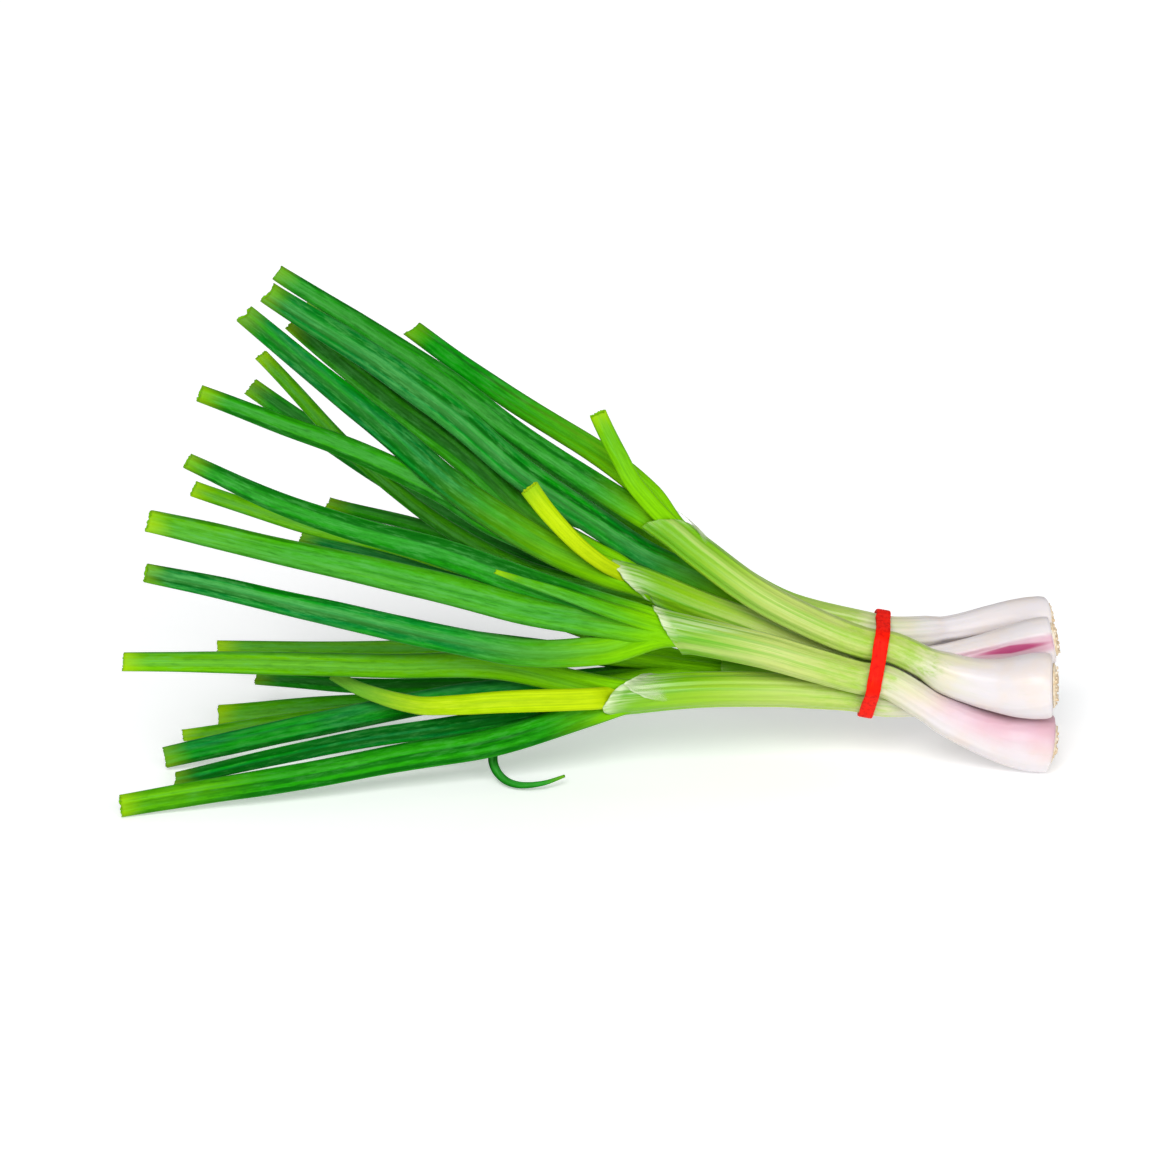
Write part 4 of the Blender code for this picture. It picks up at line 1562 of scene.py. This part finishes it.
@dataclass(frozen=True)
class TieBand:
    """The red rubber band, drawn tight round the outer necks.

    Args:
        width: Its width in millimetres.
        thickness: Its thickness.
        clearance: How far it stands off the necks.
    """

    width: float = 5.0
    thickness: float = 1.3
    clearance: float = 0.32

    BEND = 30.0
    ARC_STEPS = 14
    SPAN_STEPS = 6
    SHORTEST_SPAN = 3.0 * MM
    SIDES = 28
    CORNER = 0.42
    SPARE_WIDTH = 0.3
    SPARE_THICKNESS = 0.1
    UNEVEN_WIDTH = 0.05
    UNEVEN_THICKNESS = 0.10

    def loop(self, angles: Sequence[float]) -> tuple[np.ndarray, np.ndarray]:
        """The closed line that the band's inner side follows.

        Args:
            angles: Where the outer necks are round the bunch.

        Returns:
            Its points and the directions out of the bunch, one row each.
        """
        stations = []
        for angle in sorted(angles):
            for turn in np.linspace(-self.BEND, self.BEND, self.ARC_STEPS):
                out = NECK.outwards(angle + turn)
                stations.append((NECK.point(angle) + out * (NECK.radius + self.clearance) * MM, out))
        path, normals = [], []
        for (start, out), (end, next_out) in zip(stations, [*stations[1:], stations[0]]):
            steps = self.SPAN_STEPS if (end - start).length > self.SHORTEST_SPAN else 1
            for k in range(steps):
                path.append(start.lerp(end, k / steps))
                normals.append(out.lerp(next_out, k / steps).normalized())
        return np.array(path), np.array(normals)

    def piece(self, name: str, angles: Sequence[float], material: bpy.types.Material) -> bpy.types.Object:
        """Builds the band.

        Args:
            name: The piece's name.
            angles: Where the outer necks are round the bunch.
            material: What it is dressed in.

        Returns:
            The piece.
        """
        centre = np.array(NECK.point(None))
        path, normals = self.loop(angles)
        steps = np.linalg.norm(np.diff(path, axis=0, append=path[:1]), axis=1)
        walked = np.concatenate(([0.0], np.cumsum(steps)[:-1]))
        corner = np.linspace(0, 2 * math.pi, self.SIDES, endpoint=False)
        x, y = (0.5 * np.sign(c) * np.abs(c) ** self.CORNER for c in (np.cos(corner), np.sin(corner)))
        round_trip = walked / walked[-1] * 2 * math.pi
        loops = np.stack([np.cos(round_trip), np.sin(round_trip)], axis=1)
        uneven = np.array([noise.noise(Vector((a * 3, b * 3, 1.0))) for a, b in loops])
        edges = np.array([noise.noise(Vector((a * 9, b * 9, 4.0))) for a, b in loops])
        width = (self.width - self.SPARE_WIDTH) * (1 + self.UNEVEN_WIDTH * uneven) * MM
        thick = (self.thickness - self.SPARE_THICKNESS) * (1 + self.UNEVEN_THICKNESS * edges) * MM
        shift = 0.12 * MM * edges + 0.2 * MM * uneven
        across = x * width[:, None]
        off = (y + 0.5) * thick[:, None]
        rings = path[:, None] + np.array(NECK.axis) * (across + shift[:, None])[..., None]
        rings = rings + normals[:, None] * off[..., None] - centre
        straight = np.stack(np.broadcast_arrays(walked[:, None], across, off), axis=-1)
        skin = Skin()
        skin.add(np.concatenate((rings, rings[:1])), {"straight": np.concatenate((straight, straight[:1]))})
        made = skin.mesh(name, material)
        made.location = Vector(centre)
        return made


# The plants, with the routes of the part's source
FRONT_TOP = Plant(
    neck_angle=52.0,
    bulb_radius=10.8,
    mouth_radius=5.3,
    bulb_route=((148.6, 24.8, -12.0), (131.4, 24.8, -11.2), (116.0, 28.2, -9.4)),
    sheath_route=((72.0, 44.6, -8.5), (53.6, 54.2, -9.0), (35.4, 67.5, -8.5), (26.4, 74.7, -8.0)),
    leaves=(
        LeafBlade(((-9.5, 96.0, -1.0), (-51.0, 126.0, 4.0), (-100.0, 157.0, 10.0)), 8.6, 5.4, 10.0, DARK),
        LeafBlade(
            ((19.0, 86.0, -4.0), (1.0, 100.0, 3.0), (-28.0, 118.5, 14.0), (-58.0, 140.0, 26.0)),
            8.4,
            6.2,
            -15.0,
            OLIVE,
            Cut.SLANTED,
        ),
        LeafBlade(((15.0, 88.0, -12.0), (9.0, 99.0, -13.0), (2.5, 112.0, -15.0)), 6.0, 5.6, 0.0, LIME),
    ),
    look=StalkLook(
        pink=0.15, blush=160.0, breadth=80.0, green=-0.3, paper=5.0, dry=60.0, film=0.3, fresh=1.0
    ),
    tongue=140.0,
    slant=1.4,
    tongue_end=(19.0, 80.0, -7.0),
    collars=(Collar(facing=5.0, span=55.0, behind=11.0, beyond=2.5),),
)
MIDDLE = Plant(
    neck_angle=None,
    bulb_radius=8.0,
    mouth_radius=5.5,
    bulb_route=((149.0, 39.6, 6.2), (131.0, 36.2, 5.5), (114.0, 33.2, 3.4)),
    sheath_route=((67.4, 37.5, -1.0), (53.6, 43.3, -2.0), (35.4, 50.0, -2.5), (16.0, 57.7, -3.0)),
    leaves=(
        LeafBlade(
            ((-15.0, 75.5, 4.0), (-38.0, 95.5, 6.0), (-60.5, 113.5, 8.0), (-95.5, 141.0, 8.0)),
            10.6,
            5.6,
            10.0,
            PLAIN,
        ),
        LeafBlade(
            ((-9.5, 67.5, -7.0), (-35.0, 82.5, -10.0), (-60.5, 103.0, -14.0), (-110.0, 143.5, -22.0)),
            10.4,
            6.8,
            0.0,
            BLUISH,
            Cut.NOTCHED,
        ),
        LeafBlade(
            ((-28.5, 75.5, -7.0), (-48.0, 87.5, -10.0), (-67.0, 96.5, -16.0), (-124.0, 118.0, -30.0)),
            8.4,
            5.8,
            -8.0,
            GREEN,
        ),
    ),
    look=StalkLook(pink=1.05, blush=95.0, breadth=34.0, green=-0.2, paper=70.0, dry=120.0, film=0.4),
    tongue=35.0,
    slant=1.9,
    tongue_end=(5.0, 60.6, -5.0),
)
FRONT_LOW = Plant(
    neck_angle=-8.0,
    bulb_radius=9.7,
    mouth_radius=6.2,
    bulb_route=((148.3, 6.2, -7.4), (131.4, 8.4, -8.6), (114.0, 15.3, -10.8)),
    sheath_route=((72.0, 31.5, -13.5), (55.2, 36.3, -14.5), (24.2, 43.0, -15.0)),
    leaves=(
        LeafBlade(
            ((-12.5, 55.0, -20.0), (-43.5, 66.0, -26.0), (-92.5, 81.0, -40.0), (-127.5, 96.5, -50.0)),
            10.4,
            5.2,
            8.0,
            DARK,
        ),
        LeafBlade(
            ((3.5, 45.5, -19.0), (-28.5, 51.5, -24.0), (-92.5, 66.5, -34.0), (-140.5, 77.5, -42.0)),
            10.6,
            7.4,
            0.0,
            FRESH,
        ),
        LeafBlade(
            ((4.0, 36.0, -21.0), (-28.5, 36.5, -26.0), (-89.5, 50.0, -42.0), (-141.0, 61.0, -56.0)),
            9.6,
            6.2,
            -8.0,
            WAXY,
        ),
        LeafBlade(
            ((8.0, 48.4, -22.5), (-9.4, 54.8, -26.5), (-22.0, 58.8, -29.5), (-30.5, 61.5, -31.5)),
            6.0,
            1.4,
            0.0,
            FRESH,
            Cut.SLANTED,
        ),
    ),
    # Its pink reaches wide round the bulb: the bulb's own blush, widened as painted shade that dulls this
    # lower bulb
    look=StalkLook(pink=0.8, blush=45.0, breadth=130.0, green=-0.6, paper=20.0, dry=85.0, film=1.35),
    tongue=20.0,
    slant=1.1,
    tongue_end=(18.0, 44.6, -15.8),
)
UNDER = Plant(
    neck_angle=-68.0,
    bulb_radius=9.2,
    mouth_radius=6.0,
    bulb_route=((143.0, 11.3, 11.8), (131.0, 13.8, 9.2), (112.0, 19.6, 3.2)),
    sheath_route=((72.0, 22.8, -6.0), (59.7, 23.5, -8.0), (35.4, 23.5, -11.0), (11.4, 21.5, -12.0)),
    leaves=(
        LeafBlade(
            ((-28.5, 30.5, -15.0), (-60.5, 31.0, -16.0), (-92.5, 32.0, -18.0), (-149.5, 32.5, -24.0)),
            8.8,
            6.2,
            12.0,
            LIME,
        ),
        LeafBlade(
            ((-9.5, 23.5, -8.0), (-44.5, 21.0, -7.0), (-89.5, 12.0, -7.0), (-137.0, 1.5, -8.0)),
            8.8,
            7.2,
            15.0,
            DEEP,
        ),
        LeafBlade(
            ((-28.5, 14.5, -15.0), (-57.5, 10.0, -17.0), (-89.5, 4.5, -20.0), (-134.0, -5.5, -27.0)),
            7.0,
            4.8,
            10.0,
            DEEP,
            Cut.SLANTED,
        ),
        LeafBlade(
            ((-28.5, 7.5, -20.0), (-60.5, 1.5, -28.0), (-89.5, -3.5, -36.0), (-150.0, -13.5, -49.2)),
            9.6,
            7.2,
            0.0,
            PURE,
        ),
        LeafBlade(
            (
                (-20.0, 15.5, -8.0),
                (-28.0, 8.5, -10.5),
                (-30.8, 2.0, -14.5),
                (-29.0, -3.6, -20.0),
                (-23.8, -6.8, -25.5),
                (-15.8, -6.6, -26.5),
                (-7.8, -4.1, -21.5),
            ),
            4.2,
            1.0,
            10.0,
            DARK,
            swell=0.5,
        ),
    ),
    look=StalkLook(pink=0.6, blush=60.0, breadth=90.0, green=0.1, paper=60.0, dry=110.0, film=0.6),
    tongue=120.0,
    slant=1.9,
    tongue_end=(2.6, 20.4, -14.0),
    collars=(Collar(facing=55.0, span=60.0, behind=14.0, beyond=2.0),),
)
BACK_TOP = Plant(
    neck_angle=112.0,
    bulb_radius=7.0,
    mouth_radius=5.0,
    bulb_route=((147.4, 46.8, 22.5), (131.0, 45.4, 18.0), (116.0, 42.8, 12.5)),
    sheath_route=((66.0, 49.0, 8.0), (53.6, 54.8, 11.5), (36.0, 66.5, 14.0)),
    leaves=(
        LeafBlade(((-10.0, 92.0, 24.0), (-50.0, 121.0, 38.0), (-92.0, 147.0, 52.0)), 8.4, 6.5, 25.0, GREEN),
        LeafBlade(((10.0, 74.0, 22.0), (-20.0, 84.0, 36.0), (-42.0, 95.0, 48.0)), 7.6, 5.4, -30.0, FRESH),
    ),
    look=StalkLook(pink=0.15, blush=0.0, breadth=80.0, green=0.3, film=0.0, fresh=-0.7),
    tongue=-60.0,
)
BACK_MIDDLE = Plant(
    neck_angle=172.0,
    bulb_radius=8.3,
    mouth_radius=5.2,
    bulb_route=((143.0, 30.5, 19.2), (131.0, 31.0, 17.5), (112.0, 33.6, 15.0)),
    sheath_route=((72.0, 39.0, 14.5), (52.0, 45.5, 18.5), (32.0, 52.5, 21.5)),
    leaves=(
        LeafBlade(
            ((-16.0, 60.5, 22.0), (-42.0, 73.0, 22.0), (-70.0, 94.0, 20.0), (-105.5, 131.0, 18.0)),
            6.0,
            4.8,
            20.0,
            FRESH,
        ),
        LeafBlade(
            ((-16.0, 65.0, 28.0), (-51.0, 82.5, 40.0), (-80.0, 100.5, 50.0), (-110.0, 121.5, 60.0)),
            6.5,
            6.6,
            -20.0,
            DARK,
        ),
        LeafBlade(((-22.0, 61.5, 30.0), (-50.0, 74.5, 42.0), (-85.0, 83.5, 54.0)), 5.5, 5.0, -35.0, GREEN),
        LeafBlade(
            ((-22.0, 58.5, 22.0), (-60.5, 69.0, 14.0), (-94.0, 77.0, 8.0), (-127.0, 88.0, 0.0)),
            5.6,
            5.4,
            15.0,
            LIME,
        ),
        LeafBlade(((-28.5, 51.5, 22.0), (-70.0, 60.5, 28.0), (-125.0, 73.5, 38.0)), 6.5, 6.2, -10.0, GREEN),
    ),
    look=StalkLook(pink=0.25, blush=180.0, breadth=90.0, green=0.3, film=0.0),
    tongue=-90.0,
)
BACK_LOW = Plant(
    neck_angle=232.0,
    bulb_radius=8.7,
    mouth_radius=5.4,
    bulb_route=((140.0, 17.2, 29.8), (128.0, 18.6, 26.2), (110.0, 23.0, 16.5)),
    sheath_route=((72.0, 26.6, 11.0), (52.0, 28.5, 15.0), (30.0, 31.0, 18.5)),
    leaves=(
        LeafBlade(
            ((-9.5, 45.5, 27.0), (-38.0, 58.0, 37.0), (-67.0, 66.5, 46.0), (-93.5, 73.5, 54.0)),
            6.0,
            6.0,
            -25.0,
            BLUISH,
        ),
        LeafBlade(
            ((-28.5, 36.5, 18.0), (-60.5, 37.0, 18.0), (-92.5, 36.5, 20.0), (-120.5, 37.0, 22.0)),
            5.4,
            4.6,
            10.0,
            LIME,
        ),
        LeafBlade(((-28.5, 25.5, 24.0), (-60.5, 24.0, 32.0), (-108.5, 27.0, 48.0)), 6.0, 4.8, -20.0, DARK),
        LeafBlade(
            ((-28.5, 22.0, 16.0), (-60.5, 19.5, 20.0), (-89.5, 18.0, 27.0), (-120.5, 15.0, 35.0)),
            6.2,
            6.4,
            0.0,
            FRESH,
        ),
        LeafBlade(
            ((3.5, 25.0, 12.0), (-44.5, 20.5, 6.0), (-76.5, 16.5, 6.0), (-131.5, 8.5, 10.0)),
            5.0,
            4.2,
            25.0,
            LIME,
        ),
        LeafBlade(((-20.0, 37.0, 26.0), (-70.0, 45.0, 36.0), (-120.0, 56.0, 50.0)), 6.5, 6.0, -30.0, GREEN),
    ),
    look=StalkLook(pink=0.7, blush=-90.0, breadth=90.0, green=0.2, film=0.0),
    tongue=-100.0,
)
PLANTS = (FRONT_TOP, MIDDLE, FRONT_LOW, UNDER, BACK_TOP, BACK_MIDDLE, BACK_LOW)

OUTER_LEAF = LeafBlade(
    (
        (50.0, 51.6, 5.0),
        (35.0, 59.3, 4.6),
        (19.5, 66.2, 3.8),
        (3.5, 76.2, 1.4),
        (-22.0, 93.6, -3.2),
        (-51.0, 117.0, -4.0),
        (-103.0, 150.5, -9.0),
    ),
    7.4,
    7.6,
    5.0,
    STREAKED,
    Cut.NOTCHED,
    swell=2.8,
)
YELLOW_STUB = LeafBlade(
    ((4.0, 64.4, -10.2), (-4.5, 71.0, -13.0), (-12.5, 79.5, -13.5), (-19.5, 88.5, -14.0)),
    4.6,
    6.6,
    -5.0,
    LIME,
    lead=((18.0, 56.6, -3.5), (10.0, 61.0, -6.8)),
)
YELLOW_CURL = LeafBlade(
    (
        (0.0, 20.5, -20.0),
        (-28.5, 19.5, -22.0),
        (-44.5, 18.5, -21.0),
        (-56.0, 18.5, -18.5),
        (-72.0, 23.0, -11.0),
        (-83.0, 28.5, -7.0),
    ),
    7.2,
    3.6,
    0.0,
    LIME,
    swell=0.5,
    lead=((16.0, 21.8, -12.0), (6.5, 20.9, -15.4)),
)


@dataclass(frozen=True)
class Studio:
    """The pale floor, the soft light and the camera.

    Args:
        frame_width: The width of the picture at the bunch, in metres.
        distance: How far the camera is from the bunch.
        centre: The middle of the picture on the sheet.
    """

    frame_width: float = 0.3744
    distance: float = 5.0
    centre: Place = (-1.44, 57.06, -10.0)

    SENSOR = 36.0
    REACH = 12.0
    SURROUND = 0.27

    def floor(self) -> None:
        """Lays a wide, pale and slightly glossy floor."""
        g = Graph("pale_floor")
        plain = {"Base Color": (0.95, 0.95, 0.95, 1.0), "Roughness": 0.3, "Specular IOR Level": 0.2}
        material = g.finish({**plain, "Emission Color": (0.96, 0.98, 1.0, 1.0), "Emission Strength": 0.30})
        skin = Skin()
        sides = (-self.REACH, self.REACH)
        skin.add(np.array([[(x, y, 0.0) for x in sides] for y in sides]), {}, closed=False)
        made = skin.mesh("floor", material)
        made.data.flip_normals()
        made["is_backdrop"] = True

    def light(self) -> None:
        """Hangs wide, soft lights over an even white surround."""
        world = bpy.data.worlds.new("studio")
        world.use_nodes = True
        background = world.node_tree.nodes["Background"]
        background.inputs["Color"].default_value = (1.0, 1.0, 1.0, 1.0)
        background.inputs["Strength"].default_value = self.SURROUND
        bpy.context.scene.world = world
        suns = (
            ("key", (-0.15, -0.95, 0.80), 2.05, 28.0),
            ("fill", (0.5, -0.9, 0.35), 1.2, 40.0),
            ("back", (0.2, 0.9, 1.4), 0.35, 60.0),
        )
        for name, towards, strength, spread in suns:
            lamp = bpy.data.lights.new(name, "SUN")
            lamp.energy = strength
            lamp.angle = math.radians(spread)
            hung = bpy.data.objects.new(name, lamp)
            hung.rotation_euler = Vector(towards).to_track_quat("Z", "Y").to_euler()
            bpy.context.scene.collection.objects.link(hung)

    def camera(self) -> None:
        """Sets up the camera at the height from which the bunch was seen."""
        lens = bpy.data.cameras.new("camera")
        lens.sensor_width = self.SENSOR
        lens.lens = self.SENSOR * self.distance / self.frame_width
        lens.clip_end = 50.0
        made = bpy.data.objects.new("camera", lens)
        made.location = SHEET.at(*self.centre) + SHEET.towards_front * self.distance
        made.rotation_euler = SHEET.towards_front.to_track_quat("Z", "Y").to_euler()
        bpy.context.scene.collection.objects.link(made)
        bpy.context.scene.camera = made

    def view(self) -> None:
        """Shows colours as they are."""
        bpy.context.scene.view_settings.view_transform = "Standard"


GREEN_LEAF = LeafFinish(
    name="green_leaf_skin",
    deep=srgb(0, 140, 0),
    dark=srgb(0, 84, 8),
    bloom=srgb(2, 114, 50),
    light=srgb(84, 163, 84),
    lime=srgb(108, 182, 0),
    base=srgb(120, 190, 0),
    tip=srgb(156, 196, 6),
)
YELLOW_LEAF = LeafFinish(
    name="yellow_leaf_skin",
    deep=srgb(152, 196, 0),
    dark=srgb(112, 164, 0),
    bloom=srgb(60, 160, 40),
    light=srgb(196, 214, 60),
    lime=srgb(172, 204, 0),
    base=srgb(176, 202, 10),
    tip=srgb(120, 172, 20),
)
CURLED_LEAF = replace(YELLOW_LEAF, name="curled_leaf_skin", tip=srgb(62, 148, 50), tip_reach=50.0 * MM)


def build_bunch() -> None:
    """Builds every piece of the bunch and fixes it to the part."""
    stalk_skin, paper, cork = StalkFinish().material(), CollarFinish().material(), RootFinish().material()
    green, yellow, rubber = GREEN_LEAF.material(), YELLOW_LEAF.material(), BandFinish().material()
    curled = CURLED_LEAF.material()
    for number, plant in enumerate(PLANTS, start=1):
        name = f"onion_{number}"
        place_piece(plant.stalk(f"{name}_stalk", stalk_skin, number), [f"{name}_bulb"])
        place_piece(plant.fan(f"{name}_leaf_fan", green, number), [f"{name}_leaves"])
        tuft = RootTuft(plant.bulb_radius, plant.bulb_route)
        place_piece(tuft.piece(f"{name}_root_tuft", cork, number), [f"{name}_roots"])
        for k, collar in enumerate(plant.collars, start=1):
            piece = plant.collar_piece(f"{name}_collar_{k}", collar, paper, number + k * 0.37)
            place_piece(piece, [])
    singles = (
        ("onion_2_outer_blade", OUTER_LEAF, green, Slot.GREEN_LEAF, "onion_2_outer_leaf"),
        ("onion_2_yellow_stub", YELLOW_STUB, yellow, Slot.YELLOW_LEAF, "onion_2_yellow_leaf"),
        ("onion_4_yellow_curl", YELLOW_CURL, curled, Slot.YELLOW_LEAF, "onion_4_yellow_leaf"),
    )
    for seed, (name, leaf, material, slot, node) in enumerate(singles, start=80):
        skin = Skin()
        leaf.add_to(skin, (), 0.0, seed)
        place_piece(skin.mesh(name, material), [node])
    necks = [plant.neck_angle for plant in PLANTS if plant.neck_angle is not None]
    place_piece(TieBand().piece("tie_band", necks, rubber), ["rubber_band"])


def corners() -> list[list[float]]:
    """The lowest and highest corner of what is shown, as plain numbers."""
    return [[float(c) for c in corner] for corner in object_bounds()]


def main() -> None:
    """Loads the frame and dresses it."""
    logging.basicConfig(level=logging.INFO, format="%(message)s")
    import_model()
    studio = Studio()
    studio.floor()
    studio.light()
    studio.camera()
    studio.view()
    build_bunch()
    bpy.context.view_layer.update()


if __name__ == "__main__":
    main()
